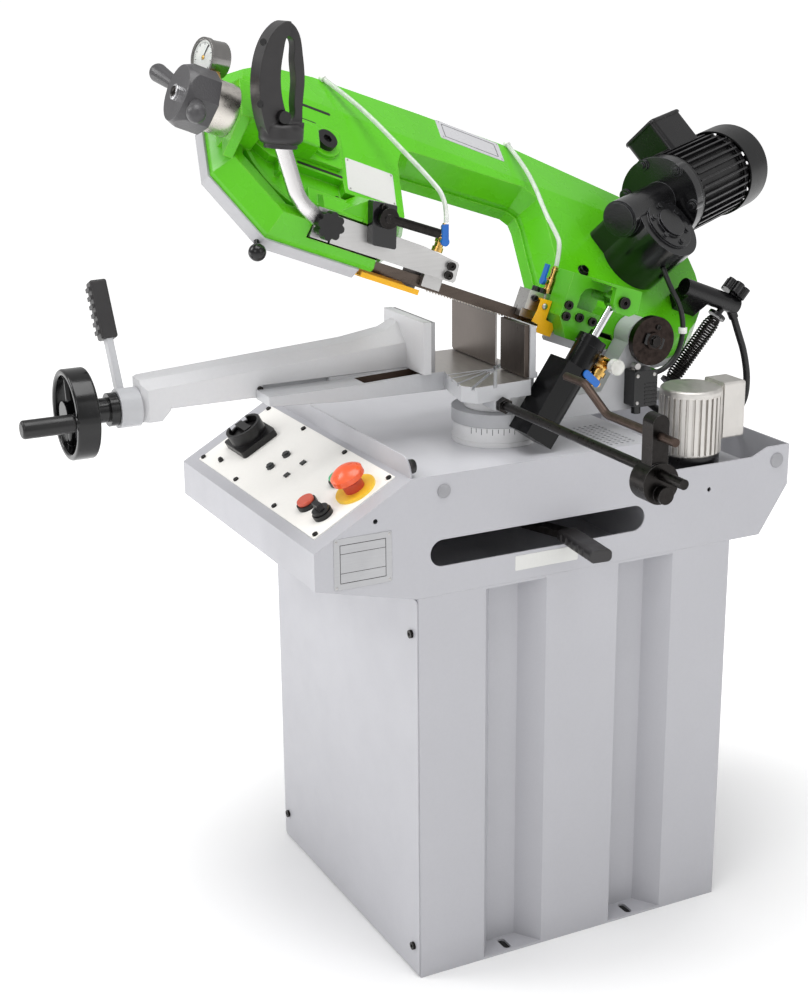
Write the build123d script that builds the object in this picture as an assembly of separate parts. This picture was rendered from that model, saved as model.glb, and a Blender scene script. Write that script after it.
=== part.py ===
from build123d import *
import math
import os

os.makedirs("parts", exist_ok=True)

# ---------------------------------------------------------------- driving sizes (mm)
CAB_X, CAB_Y0, CAB_Y1, CAB_Z = 250.0, -263.0, 265.0, 600.0   # cabinet half width, front, back, height
SHEET = 2.5                     # sheet steel
CH_DEPTH, CH_SLOPE = 38.0, 26.0  # side channel depth and slope run
CH1 = (-156.0, -56.0)           # channels along Y
CH2 = (66.0, 162.0)
TRAY_TOP = 774.0                # top of the tray housing
PANEL_Y, PANEL_Z, PANEL_TILT = -418.0, 691.0, 29.62   # lower front edge of the console face
TX, TY = 118.0, -67.5           # turntable axis
TABLE_Z = 876.0                 # vise table top
JAW_Y = -63.0                   # fixed jaw face
JAW_TOP = 952.0
RAM_X, SCREW_Z = 25.0, 863.0    # vise screw axis
BLADE_W, BLADE_T = 16.0, 0.9
XB, ZB = 118.0, 883.5           # blade centre when the bow is level
YP, ZP = 151.0, 908.0           # bow pivot axis (along X)
PITCH = 21.2                    # bow raised at rest
TILT = 45.0                     # wheel plane against the vertical
R_WHEEL = 139.0
U_IDLER, U_DRIVE = -531.0, 18.0  # wheel centres along the bow
FACE_H = 44.0                   # outer face of the bow casting
CYL_X = 207.0                   # feed cylinder axis plane
PUMP = (197.0, 222.0)
SHELF = 710.0                   # shelf under the pump
TEN_S, TEN_H = 124.0, 62.0      # blade tension screw axis in the wheel plane frame
ROD_Y, ROD_Z, ROD_R = -105.0, 846.3, 6.5   # length stop rod
FIT = 0.05                      # running clearance on radius

# ---------------------------------------------------------------- helpers


def bx(x0, x1, y0, y1, z0, z1):
    return Pos((x0 + x1) / 2, (y0 + y1) / 2, (z0 + z1) / 2) * Box(abs(x1 - x0), abs(y1 - y0), abs(z1 - z0))


def cx(r, x0, x1, y, z):
    return Pos((x0 + x1) / 2, y, z) * Rot(0, 90, 0) * Cylinder(r, abs(x1 - x0))


def cy(r, y0, y1, x, z):
    return Pos(x, (y0 + y1) / 2, z) * Rot(90, 0, 0) * Cylinder(r, abs(y1 - y0))


def cz(r, z0, z1, x, y):
    return Pos(x, y, (z0 + z1) / 2) * Cylinder(r, abs(z1 - z0))


def face_of(pts):
    return make_face(Polyline(*pts, close=True))


def prism_x(pts, x0, x1):
    pl = Plane(origin=(x0, 0, 0), x_dir=(0, 1, 0), z_dir=(1, 0, 0))
    return extrude(pl * face_of(pts), x1 - x0)


def prism_z(pts, z0, z1):
    return extrude(Pos(0, 0, z0) * face_of(pts), z1 - z0)


def rod(p, q, r):
    a, b = Vector(*p), Vector(*q)
    d = b - a
    return Plane(origin=a, z_dir=d).location * (Pos(0, 0, d.length / 2) * Cylinder(r, d.length))


def cone(p, q, r0, r1):
    a, b = Vector(*p), Vector(*q)
    d = b - a
    return Plane(origin=a, z_dir=d).location * (Pos(0, 0, d.length / 2) * Cone(r0, r1, d.length))


def inset(pts, d):
    """offset a counter-clockwise polygon inwards by d"""
    n = len(pts)
    lines = []
    for i in range(n):
        (x0, y0), (x1, y1) = pts[i], pts[(i + 1) % n]
        ln = math.hypot(x1 - x0, y1 - y0)
        nx, ny = -(y1 - y0) / ln, (x1 - x0) / ln
        lines.append((x0 + nx * d, y0 + ny * d, x1 - x0, y1 - y0))
    out = []
    for i in range(n):
        ax, ay, adx, ady = lines[i - 1]
        bx_, by_, bdx, bdy = lines[i]
        det = adx * bdy - ady * bdx
        if abs(det) < 1e-6:
            out.append((bx_, by_))
            continue
        t = ((bx_ - ax) * bdy - (by_ - ay) * bdx) / det
        out.append((ax + adx * t, ay + ady * t))
    return out


def soft(obj, edges, r):
    """round the given edges; a solid that refuses the radius stays sharp"""
    try:
        res = fillet(edges, r)
        if res.is_valid and res.volume > 0:
            return res
    except Exception:
        pass
    return obj


def tube_path(pts, radii, r):
    wire = FilletPolyline(*pts, radius=radii)
    start = wire @ 0
    pl = Plane(origin=start, z_dir=wire % 0)
    return sweep(pl * Circle(r), path=wire), wire.length


def cord_radii(pts, k=0.45):
    res = []
    for i in range(1, len(pts) - 1):
        a, b, c = Vector(*pts[i - 1]), Vector(*pts[i]), Vector(*pts[i + 1])
        d0, d1 = b - a, c - b
        turn = math.radians(d0.get_angle(d1))
        res.append(k * min(d0.length, d1.length) / math.tan(turn / 2))
    return res


NODES = {}


def save(name, *things):
    sol = []
    for t in things:
        sol += list(t.solids())
    shape = sol[0] if len(sol) == 1 else Compound(sol)
    export_step(shape, "parts/" + name + ".step")
    NODES[name] = shape
    print(name, len(sol), round(shape.volume))


# frames: LIFT raises the level bow to its rest angle; BOW is the wheel plane of the level bow
LIFT = Pos(0, YP, ZP) * Rot(-PITCH, 0, 0) * Pos(0, -YP, -ZP)
ct, st = math.cos(math.radians(TILT)), math.sin(math.radians(TILT))
BOW = Plane(origin=(XB, YP, ZB), x_dir=(0, 1, 0), z_dir=(ct, 0, st)).location
PAN = Plane(origin=(0, PANEL_Y, PANEL_Z), x_dir=(1, 0, 0),
            z_dir=(0, -math.sin(math.radians(PANEL_TILT)), math.cos(math.radians(PANEL_TILT)))).location

# ================================================================ cabinet
right = [(CAB_X, CAB_Y0)]
for a, b in (CH1, CH2):
    right += [(CAB_X, a), (CAB_X - CH_DEPTH, a + CH_SLOPE), (CAB_X - CH_DEPTH, b - CH_SLOPE), (CAB_X, b)]
right += [(CAB_X, CAB_Y1)]
plan = right + [(-x, y) for x, y in reversed(right)]
shell = prism_z(plan, 0, CAB_Z) - prism_z(inset(plan, SHEET), -1, CAB_Z + 1)
shell -= bx(-222, 222, CAB_Y0 - 1, CAB_Y0 + 10, 28, 572)
CHC = [-110.0, 110.0]           # anchor slots stand in the channels
ANCHOR_X = 231.0
for z0, z1 in ((0, 4), (CAB_Z - 4, CAB_Z)):
    ring = bx(-CAB_X, CAB_X, CAB_Y0, CAB_Y1, z0, z1) - bx(-186, 186, -205, 205, z0 - 1, z1 + 1)
    for y in CHC:
        for sx in (-1, 1):
            if z0 == 0:
                ring -= bx(sx * ANCHOR_X - 8, sx * ANCHOR_X + 8, y - 6, y + 6, -1, 5)
                ring -= cz(6, -1, 5, sx * ANCHOR_X - 8, y)
                ring -= cz(6, -1, 5, sx * ANCHOR_X + 8, y)
    shell += ring
panel_bolts = []
for x, z in ((-234, 543), (232, 543), (-234, 46), (232, 46)):
    panel_bolts.append(cy(6, CAB_Y0 - 2 - 4, CAB_Y0 - 2, x, z) - Pos(x, CAB_Y0 - 6.5, z) * Rot(90, 0, 0) * extrude(RegularPolygon(3, 6), 3, both=True))
front_panel = bx(-249, 249, CAB_Y0 - 2, CAB_Y0, 3, 597)
front_panel = soft(front_panel, front_panel.edges().filter_by(Axis.Y), 6)
save("cabinet_shell", shell)
save("cabinet_front_panel", front_panel)

# ================================================================ tray and console housing
prof = [(-265, 600), (265, 600), (319.6, 600), (368.6, 674), (368.6, 737), (328, 737), (300, 725), (150, 725), (122, TRAY_TOP),
        (-272, TRAY_TOP), (PANEL_Y, PANEL_Z), (PANEL_Y, 638)]
tray = prism_x(prof, -CAB_X, CAB_X) - prism_x(inset(prof, SHEET), -CAB_X + SHEET, CAB_X - SHEET)
tray -= bx(-CAB_X + SHEET, CAB_X - SHEET, 122, 366.1, 700, 800)
tray += bx(-CAB_X + SHEET, CAB_X - SHEET, 119.5, 122, 601, TRAY_TOP)
# splash lip behind the console, rounded at both ends
lip = bx(-246, 246, -272, -269.5, TRAY_TOP - 2, 801)
lip = soft(lip, lip.edges().filter_by(Axis.Y).sort_by(Axis.Z)[-2:], 24)
tray += lip
# shelf that carries the coolant pump above the sump
tray += bx(96, CAB_X - SHEET, 152, 312, SHELF - 4, SHELF) - cz(39, 690, 740, PUMP[0], PUMP[1])
# slot for the turntable clamp lever and holes in the side
tray -= bx(246, 252, -224.5, 89.5, 642, 681) + cx(19.5, 246, 252, -224.5, 661.5) + cx(19.5, 246, 252, 89.5, 661.5)
for y, z, r in ((223, 686, 3.5), (346, 714, 9), (-327, 723, 3.5), (-223, 750.6, 8)):
    tray -= cx(r, 246, 252, y, z)
# strainer field in the top
grid = []
for i in range(12):
    for j in range(5):
        grid.append(cz(2.7, 770, 776, 134 + 9 * i, 58 + 9.5 * j))
tray -= grid
tray -= cz(10.6, 765, 780, TX, TY)
for x, y in ((131, 53.5), (181, 111), (131, 110)):
    tray -= PAN * cz(12.5, -6, 3, x, y)
save("tray_housing", tray)

# console face plate, 8 screws with it
plate = PAN * (bx(-217, 218, 17.5, 158.5, 0, 2))
for x, y in ((131, 53.5), (181, 111), (131, 110)):
    plate -= PAN * cz(12.5, -6, 3, x, y)
save("control_panel", plate)
for x in (-211, -76, 69.5, 211):
    for y in (24, 152):
        panel_bolts.append(PAN * (cz(4, 2, 4.4, x, y) - bx(x - 3.2, x + 3.2, y - 0.5, y + 0.5, 3.6, 5)))
save("panel_screws", *panel_bolts)

# fittings that stay put on the console: switch body, collars, bezels, lamps
SW = (-151.0, 91.0)
sw = bx(SW[0] - 37, SW[0] + 37, SW[1] - 32, SW[1] + 32, 2, 13)
sw = soft(sw, sw.edges().filter_by(Axis.Z), 6)
sw += cz(29, 13, 33, SW[0], SW[1]) - cz(24.5, 16, 40, SW[0], SW[1])
sw -= bx(SW[0] - 36, SW[0] - 15, SW[1] - 15, SW[1] + 15, 26, 40)
sw -= cz(6.3, 14, 40, SW[0], SW[1])
fit = [PAN * sw]
ES = (181.0, 111.0)
fit.append(PAN * (cz(30, 2, 6, *ES) + cz(15, 6, 19, *ES) - cz(8.4, -7, 40, *ES)))
for x, y in ((131, 110), (131, 53.5)):
    fit.append(PAN * (cz(15, 2, 9, x, y) - cz(13, 5, 20, x, y) - cz(11.4, -8, 20, x, y)))
SEL = (181.5, 54.0)
fit.append(PAN * (cz(14.5, 2, 9, *SEL) - cz(5.4, 3.5, 20, *SEL)))
for x, y, r in ((-37.5, 100.5, 6.5), (-38, 71, 6.5), (-161, 35.5, 4)):
    lamp = cz(r, 2, 6, x, y) + cz(r * 0.72, 6, 8, x, y)
    fit.append(PAN * lamp)
for x, y in ((15.5, 104), (15.5, 74)):
    fit.append(PAN * (bx(x - 4.5, x + 4.5, y - 4.5, y + 4.5, 2, 4)))
save("panel_fittings", *fit)

knob = cz(23, 17, 22, *SW) + bx(SW[0] - 20, SW[0] + 20, SW[1] - 6, SW[1] + 6, 22, 33) + cz(6, 14.6, 18, *SW)
knob = PAN * knob
save("main_switch_knob", knob)
es = cz(8, 2, 27, *ES) + Pos(ES[0], ES[1], 24.5) * Cylinder(24, 8, align=(Align.CENTER, Align.CENTER, Align.MIN))
dome = Pos(ES[0], ES[1], 32.5 - 21.2) * Sphere(32) & bx(ES[0] - 35, ES[0] + 35, ES[1] - 35, ES[1] + 35, 32.5, 60)
save("estop_button", PAN * (es + dome))
for nm, x, y in (("start_button", 131, 110), ("stop_button", 131, 53.5)):
    b = cz(11, 3, 10, x, y) + cz(12.6, 9.4, 14, x, y)
    b = soft(b, b.edges().sort_by(Axis.Z)[-1:], 1.2)
    save(nm, PAN * b)
sel = cz(12.5, 9.5, 14, *SEL) + bx(SEL[0] - 9.5, SEL[0] + 9.5, SEL[1] - 4, SEL[1] + 4, 14, 24) + cz(5, 4, 10, *SEL)
save("selector_knob", PAN * sel)

# ================================================================ turntable base, table, vise
base = cz(63.5, TRAY_TOP, 781, TX, TY) + cz(62, 781, 803, TX, TY)
base += cz(30, 803, 853, TX, TY) + cz(46, 823.4, 853, TX, TY)
base += cz(10, 636, TRAY_TOP, TX, TY)
save("turntable_base", base)

lk = cz(22, 640, 684, TX, TY) - cz(10 + FIT, 630, 690, TX, TY)
arm = Pos(TX, TY, 0) * Rot(0, 0, 20) * bx(18, 142, -11, 11, 650, 660)
grip = bx(0, 102, -17, 17, 645, 663)
grip = soft(grip, grip.edges().filter_by(Axis.X), 7)
for k in range(5):
    grip -= cz(5.2, 640, 690, 14 + 16 * k, -20.5) + cz(5.2, 640, 690, 14 + 16 * k, 20.5)
arm += Pos(246, -20, 0) * Rot(0, 0, -5.5) * grip
save("lock_lever", lk + arm)

bed = prism_z([(-24, -126), (50, -128), (126, -148), (186, -161), (205, -147), (197, -33), (-24, -33)], 853, TABLE_Z)
bed = soft(bed, bed.edges().filter_by(Axis.Z), 4)
bed -= bx(168, 200, -56, -20, 840, 900)
bed += prism_x([(-412, 858), (-397, 857), (-306, 851.4), (-140, 849), (-120, 849), (-120, TABLE_Z), (-412, TABLE_Z)], -14, 43.4)
bed += prism_x([(-300, 851), (-140, 849), (-120, 849), (-120, TABLE_Z), (-300, TABLE_Z)], 43, 51)
bed += prism_x([(-412, 858), (-397, 857), (-306, 851.4), (-140, 849), (-120, 849), (-120, TABLE_Z), (-160, TABLE_Z), (-262, 872), (-412, 871.5)], 50.6, 98)
bed -= bx(56, 90, -264, -168, 858, 900)
bed -= cy(9.4, -420, -92, RAM_X, SCREW_Z)
bed -= bx(RAM_X - 5, RAM_X + 5, -420, -170, 866, 880)
# mitre scale grooves and the blade relief
for k in range(5):
    g = Pos(TX, TY, 0) * Rot(0, 0, -90 + 15 * k) * bx(-60, 150, -2.6, 2.6, TABLE_Z - 5, TABLE_Z + 1)
    bed -= g
bed -= bx(XB - 4, XB + 4, TY, -30, TABLE_Z - 6, TABLE_Z + 1)
# lug under the table for the stop rod
bed += bx(168, 203, -117, -93, 839.5, 854)
bed -= cx(ROD_R, 160, 210, ROD_Y, ROD_Z)
save("vise_bed", bed)
rodp = cx(ROD_R, 168, 634, ROD_Y, ROD_Z) + Pos(208.2, ROD_Y, ROD_Z) * Rot(0, 90, 0) * extrude(RegularPolygon(11.5, 6), 5, both=True)
save("stop_rod", rodp)

fj = bx(-24, 108, -55, -46, TABLE_Z, JAW_TOP - 2) + bx(126, 194, -55, -46, TABLE_Z, JAW_TOP - 2)
fj += prism_x([(-46, TABLE_Z), (-33, TABLE_Z), (-46, 930)], -24, 6)
fj += prism_x([(-46, TABLE_Z), (-33, TABLE_Z), (-46, 930)], 146, 170)
fj += bx(-24, 108, -46, -43, TABLE_Z, 884) + bx(126, 194, -46, -43, TABLE_Z, 884)
fj -= bx(100, 127, -50, -40, TABLE_Z - 1, JAW_TOP + 1)
# room for the blade at the 45 degree mitre
fj -= prism_z([(113, -63), (113, -30), (66, -30), (92, -56)], 800, 1000)
save("fixed_jaw", fj)
jp = []
for x0, x1 in ((-22, 110), (124, 191)):
    p = bx(x0, x1, JAW_Y, -55, TABLE_Z + 1, JAW_TOP)
    p -= bx(x0 - 1, x1 + 1, JAW_Y - 1, JAW_Y + 1.2, TABLE_Z - 1, TABLE_Z + 4)
    p -= prism_z([(110, -63.5), (111, -54), (99, -54)], 800, 1000)
    jp.append(p)
save("fixed_jaw_plates", *jp)

JX0, JX1 = -20.0, 107.0
ram = prism_x([(-576, 844), (-550, 844), (-537, 858), (-534, 876.4), (-178, 876.4), (-178, 940), (-200, 930), (-262, 921), (-576, 901)], 0, 50)
# bevel along the upper right edge and the two front corners
bev0 = Plane(origin=(0, -578, 0), x_dir=(1, 0, 0), z_dir=(0, -1, 0)) * face_of([(34, 904), (54, 884), (54, 904)])
bev1 = Plane(origin=(0, -177, 0), x_dir=(1, 0, 0), z_dir=(0, -1, 0)) * face_of([(19, 944), (53, 910), (53, 944)])
ram -= loft([bev0, bev1], ruled=True)
ram -= prism_z([(-1, -577), (9, -577), (-1, -567)], 800, 960) + prism_z([(51, -577), (51, -567), (41, -577)], 800, 960)
# skirt on the open side of the screw
ram += bx(44, 50, -536, -402, 860, 880)
ram += bx(JX0, JX1, -178, -166, 876.4, JAW_TOP)
ram -= cy(8 + FIT, -580, -500, RAM_X, SCREW_Z)
ram -= cy(9.4, -534, -160, RAM_X, SCREW_Z)
mplate = bx(JX0 + 1, JX1, -166, -160, TABLE_Z + 3, JAW_TOP - 1)
save("vise_ram", ram, mplate)

HW_Y = -662.0
wheel = cy(62, HW_Y - 16, HW_Y + 16, RAM_X, SCREW_Z) - cy(53, HW_Y - 20, HW_Y + 20, RAM_X, SCREW_Z)
wheel = soft(wheel, wheel.edges().filter_by(GeomType.CIRCLE), 3.5)
wheel += cy(19, -680, -640, RAM_X, SCREW_Z)
for k in range(3):
    a = math.radians(120 * k + 2)
    p = (RAM_X + 14 * math.cos(a), HW_Y - 4, SCREW_Z + 14 * math.sin(a))
    q = (RAM_X + 56 * math.cos(a), HW_Y, SCREW_Z + 56 * math.sin(a))
    wheel += rod(p, q, 7)
wheel += cy(23, -619, -606.6, RAM_X, SCREW_Z) + cy(17, -641, -606.6, RAM_X, SCREW_Z)
wheel += cy(8, -610, -200, RAM_X, SCREW_Z)
ca = math.radians(2)
CRX, CRZ = RAM_X + 53 * math.cos(ca), SCREW_Z + 53 * math.sin(ca)
wheel += cy(4.5, -740, -664, CRX, CRZ) + cy(9, -680, -664, CRX, CRZ)
save("vise_handwheel", wheel)
crank = cy(12.5, -752, -680.4, CRX, CRZ)
crank = soft(crank, crank.edges(), 4.5)
crank -= cy(4.5 + FIT, -741, -660, CRX, CRZ)
save("crank_handle", crank)

ql = cy(27, -606.2, -576.4, RAM_X, SCREW_Z) - cy(8 + FIT, -620, -560, RAM_X, SCREW_Z)
QL = Plane(origin=(RAM_X, -597, SCREW_Z), x_dir=(0.92, 0, 0.3935), z_dir=(-0.393, -0.032, 0.919)).location
bar = QL * bx(-8, 8, -4.5, 4.5, 20, 104)
gr = bx(-11, 11, -12, 12, 96, 178)
gr = soft(gr, gr.edges(), 3.5)
for k in range(6):
    gr += bx(-8.5, 8.5, -14.6, -8, 104 + 12 * k, 109.5 + 12 * k)
save("quick_lever", ql + bar + QL * gr)

# ================================================================ coolant pump in the sump
pump = cz(45, SHELF, 733, *PUMP) + cz(36, 630, SHELF, *PUMP)
mot = cz(42, 733, 826, *PUMP)
fins = []
for k in range(30):
    fins.append(Pos(PUMP[0], PUMP[1], 0) * Rot(0, 0, 12 * k) * bx(40, 47, -2.8, 2.8, 736, 824))
mot += fins
top = cz(46.5, 822, 833, *PUMP)
top = soft(top, top.edges().sort_by(Axis.Z)[-1:], 5)
tbox = bx(PUMP[0] - 22, PUMP[0] + 28, PUMP[1] + 40, PUMP[1] + 80, 752, 838)
tbox = soft(tbox, tbox.edges().filter_by(Axis.Y) + tbox.faces().sort_by(Axis.Y)[-1].edges(), 4)
mot += top + tbox
save("coolant_pump", pump + mot)

# ================================================================ length stop
CLX = 572.0
sc = cx(26, CLX - 15, CLX + 15, ROD_Y, ROD_Z - 12)
sc += bx(CLX - 11, CLX + 11, -117, -93, ROD_Z - 10, 908)
sc += cx(12, CLX - 11, CLX + 11, ROD_Y, 908)
sc -= cx(ROD_R + FIT, CLX - 40, CLX + 40, ROD_Y, ROD_Z)
FIN_Z = 893.0
sc -= cx(5.5 + FIT, CLX - 40, CLX + 40, ROD_Y, FIN_Z)
sc += cx(11, CLX + 15, CLX + 27, ROD_Y, ROD_Z - 24)
save("stop_clamp", sc)
fpts = [(614, ROD_Y, FIN_Z), (466, ROD_Y, FIN_Z), (412, ROD_Y, 922), (368, ROD_Y, 922)]
fing, _ = tube_path(fpts, [22, 22], 5.5)
save("stop_finger", fing)

# ================================================================ swivel head (turns on the table post)
head = cz(64, 803.3, 823, TX, TY)
head += bx(60, 172, -67, 44, 803.3, 823) + bx(92, 172, 0, 150, 803.3, 836)
head += bx(150, 182.5, -80, 6, 803.3, 823)
head += prism_x([(76, 832), (150, 832), (178, 902), (124, 905)], 135, 172)
head += cx(28, 135, 172, YP, ZP)
head += bx(106, 130, 96, 150, 798, 820) + bx(106, 130, 96, 222, 798, 812)
head -= cz(30 + FIT, 790, 860, TX, TY) + cz(47, 823, 860, TX, TY)
head -= cx(16 + FIT, 130, 180, YP, ZP)
SP0, SP1 = Vector(118, 227, 807), Vector(118, 338, 932)
spd = (SP1 - SP0).normalized()


def sp(d):
    v = SP0 + spd * d
    return (v.X, v.Y, v.Z)


head += rod(sp(-16), sp(14), 5) + rod(sp(14), sp(19.6), 14)
head -= bx(40, 140, 190, 260, 760, 797.9)
save("swivel_head", head)

# feed cylinder with its bracket, along the mean direction of the rod end's arc
TH0, TH1 = -21.2, 6.0
pin_home = (55.0, 945.0)
rp = math.hypot(pin_home[0] - YP, pin_home[1] - ZP)
a_home = math.atan2(pin_home[1] - ZP, pin_home[0] - YP)


def pin_at(lift):
    a = a_home - math.radians(lift)
    return (YP + rp * math.cos(a), ZP + rp * math.sin(a))


mid = PITCH + (TH0 + TH1) / 2
half = math.radians((TH1 - TH0) / 2)
pm = pin_at(mid)
nrm = ((pm[0] - YP) / rp, (pm[1] - ZP) / rp)
sag = rp * (1 - math.cos(half)) / 2
pl_ = (pm[0] - nrm[0] * sag, pm[1] - nrm[1] * sag)
edir = (nrm[1] * 1.0, -nrm[0] * 1.0)          # rises to the rear
if edir[1] < 0:
    edir = (-edir[0], -edir[1])
pr = pin_at(PITCH)
along = (pr[0] - pl_[0]) * edir[0] + (pr[1] - pl_[1]) * edir[1]
eye = (pl_[0] + edir[0] * along, pl_[1] + edir[1] * along)
CYL_L = 209.0
low = (eye[0] - edir[0] * CYL_L, eye[1] - edir[1] * CYL_L)
CYL = Plane(origin=(CYL_X, low[0], low[1]), x_dir=(1, 0, 0), z_dir=(0, edir[0], edir[1])).location
print("feed axis", edir, "low", low, "eye", eye, "pin", pr, "ratio m/rad", rp * math.sin(half) / half / 1000)
fc = cz(20, 4, 146, 0, 0) + bx(-24.4, 24.4, -32, 16, -20, 10)
fc += bx(-24.4, -19.4, -30, -5, -20, 99) + bx(19.4, 24.4, -30, -5, -20, 99)
fc += bx(-24.4, 24.4, -33, -19, -20, 99)
fc += cz(21.5, 134, 147, 0, 0) + cz(10, 147, 150, 0, 0)
fc -= cz(6 + FIT, 22, 190, 0, 0)
# feed valve, an elbow fitting on the rear of the cylinder
fc += rod((6, 15, 122), (6, 36, 122), 9.5) + rod((6, 32, 92), (6, 32, 134), 8.6) + rod((6, 32, 126), (32, 32, 126), 7.5)
fc += rod((6, 32, 106), (6, 32, 113), 11.5)
fc -= cz(6 + FIT, 22, 190, 0, 0)
fc -= rod((27, 32, 126), (40, 32, 126), 2.9)
save("feed_cylinder", CYL * fc)
vl = rod((32.4, 32, 126), (44, 32, 126), 11) + rod((29, 32, 126), (33, 32, 126), 2.5)
save("feed_valve_knob", CYL * vl)
fr = cz(6, 66, CYL_L - 8, 0, 0)
eye_s = cx(13.4, -8, 8, 0, CYL_L) - cx(9.2, -20, 20, 0, CYL_L)
fr = fr - cx(9.2, -20, 20, 0, CYL_L)
save("feed_rod", CYL * (fr + eye_s))

# limit switch beside the pivot cam
ls = bx(172, 199, 119, 159, 812, 866)
ls = soft(ls, ls.edges().filter_by(Axis.X), 3)
ls += cz(5, 864, 868, 185, 128) + bx(183, 187, 124, 131, 862, 871) + cx(5, 182, 194, 127.6, 872)
ls += rod((185, 132, 800), (185, 132, 813), 7)
save("limit_switch", ls)

# return spring
sh = Helix(pitch=6.6, height=112.0, radius=11.1)
spl = Plane(origin=sp(26), z_dir=spd).location
coil = sweep(Plane(origin=sh @ 0, z_dir=sh % 0) * Circle(1.9), path=sh)
save("return_spring", spl * coil)

# ================================================================ bow
UD, UI = U_DRIVE, U_IDLER
RW = R_WHEEL
arc = []
for d in range(-90, 76, 11):
    arc.append((UD + 155 * math.cos(math.radians(d)), RW + 155 * math.sin(math.radians(d))))
OUT = [(-688, 141), (-682, 60), (-605, -16), (-441, -16), (-430, 8), (-398, 40), (-386, 62), (-386, 160), (-382, 172), (-371, 180),
       (-178, 193), (-162, 185), (-157, 168), (-148, 62), (-130, -16)] + arc + [(-170, 309), (-340, 304), (-525, 294), (-612, 276), (-655, 246)]


def slab(pts, h0, h1):
    return extrude(Pos(0, 0, h0) * face_of(pts), h1 - h0)


inner = inset(OUT, 16)
cast = slab(OUT, 4, 12) + loft([Pos(0, 0, 12) * face_of(OUT), Pos(0, 0, FACE_H) * face_of(inner)], ruled=True)
# sloping upper facet
facet = extrude(Plane(origin=(-720, 0, 0), x_dir=(0, 1, 0), z_dir=(1, 0, 0)) * face_of([(222, FACE_H), (222, 80), (340, 80), (340, 20)]), 1000)
cast -= facet
# raised rib along the beam and the wheel boss ring
cast -= slab(inset(OUT, 9), 0, 20)
cast -= cz(140.6, 0, 16, U_IDLER, R_WHEEL) + cz(140.6, 0, 16, U_IDLER + 9, R_WHEEL) + bx(U_IDLER, U_IDLER + 9, R_WHEEL - 140.6, R_WHEEL + 140.6, 0, 16)
# sunk field below the wheel slide, with a curved rib in it
field = [(-657, 128), (-654, 76), (-593, 15), (-557, 15), (-557, 58), (-440, 58), (-428, 70), (-428, 72), (-497, 72), (-499, 92), (-612, 92), (-640, 110)]
cast -= slab(field, 31, 60)
arc_rib = (cz(125, 26, 40, UI, RW) - cz(119, 20, 60, UI, RW)) & slab(field, 20, 60)
cast += arc_rib
cast += slab([(-600, 70), (-594, 70), (-594, 95), (-600, 95)], 28, FACE_H)
# wall that carries the tension screw
cast += bx(-682, -640, TEN_S - 32, TEN_S + 32, 26, 94) - bx(-700, -640, TEN_S - 40, TEN_S + 40, 0, 20)
cast += extrude(Plane(origin=(-682, 0, 0), x_dir=(0, 1, 0), z_dir=(1, 0, 0)) * face_of([(TEN_S - 58, 40), (TEN_S - 32, 94), (TEN_S + 30, 94), (TEN_S + 58, 40)]), 14)
cast += cz(74, 20, FACE_H, UD, RW)
# axle slot for the idler and shaft bore for the drive
cast -= bx(UI - 18, UI + 27, RW - 14, RW + 14, 0, 80)
cast -= cz(32, 0, 80, UD, RW)
cast -= rod((-700, TEN_S, TEN_H), (-620, TEN_S, TEN_H), 8.6)
# blade passages
cast -= bx(-455, -385, -13, 13, -20, 15) + bx(-160, -100, -13, 13, -20, 15)
cast = BOW * cast
# channel for the guide beam
cast -= bx(126.5, 220, -372, -230, 892.5, 934)
cast -= bx(126.5, 220, -402, -371, 892.5, 938)
# hinge side: the casting ends at the column
cast -= bx(133.5, 260, 62, 360, 820, 966)
boss = cx(30, 118, 133.5, YP, ZP) - BOW * bx(-60, 60, -60, 120, -40, 15)
cast += boss
# lug over the beam for the clamp, with a sloping web
cast += bx(92, 144.4, -330, -300, 934.5, 966)
cast += extrude(Plane(origin=(0, -332, 0), x_dir=(1, 0, 0), z_dir=(0, -1, 0)) * face_of([(120, 934.5), (146, 934.5), (146, 938), (130, 952), (110, 952)]), 60)
cast += prism_x([(-330, 966), (-330, 936), (-372, 936)], 100, 144)
# bracket that carries the feed rod pin and the rear guide
br = prism_x([(-7, 918), (-7, 964), (62, 967), (62, 930), (58, 912), (44, 872), (14, 872), (6, 884), (-7, 900)], 141, 180)
br += prism_x([(6, 905), (6, 962), (61, 962), (61, 905)], 96, 142)
# open pocket under an arch, then the bridge and the outer cheek of the rod fork
br -= prism_x([(16, 918), (16, 938), (21, 947), (30, 951), (70, 951), (70, 918)], 158, 190)
br += prism_x([(26, 961.5), (62, 961.5), (80, 961.5), (80, 968), (62, 967), (26, 965)], 172, 229)
br += prism_x([(36, 963), (80, 968), (85, 938), (72, 929), (50, 929), (40, 938)], 219.5, 229)
br -= BOW * bx(-300, 100, -60, 200, -60, 16)
cast += br
for y, z in ((0.5, 918), (2, 902), (24.5, 906), (48, 906)):
    cast += cx(6.5, 178, 185, y, z) - Pos(185, y, z) * Rot(0, 90, 0) * extrude(RegularPolygon(3.4, 6), 4, both=True)
shaft = cx(16, 128.5, 186, YP, ZP) + cx(36, 186, 197, YP, ZP) + cx(13, 197, 201, YP, ZP)
shaft -= cx(36.5, 190, 198, YP, ZP) - cx(33, 180, 210, YP, ZP) - cx(50, 180, 199, YP, ZP)
pin = cx(7, 148, 230, *pin_home) + cx(8.5, 229, 235, *pin_home) - Pos(235, *pin_home) * Rot(0, 90, 0) * extrude(RegularPolygon(3.6, 6), 4, both=True)
cast -= shaft
cast -= pin

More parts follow.
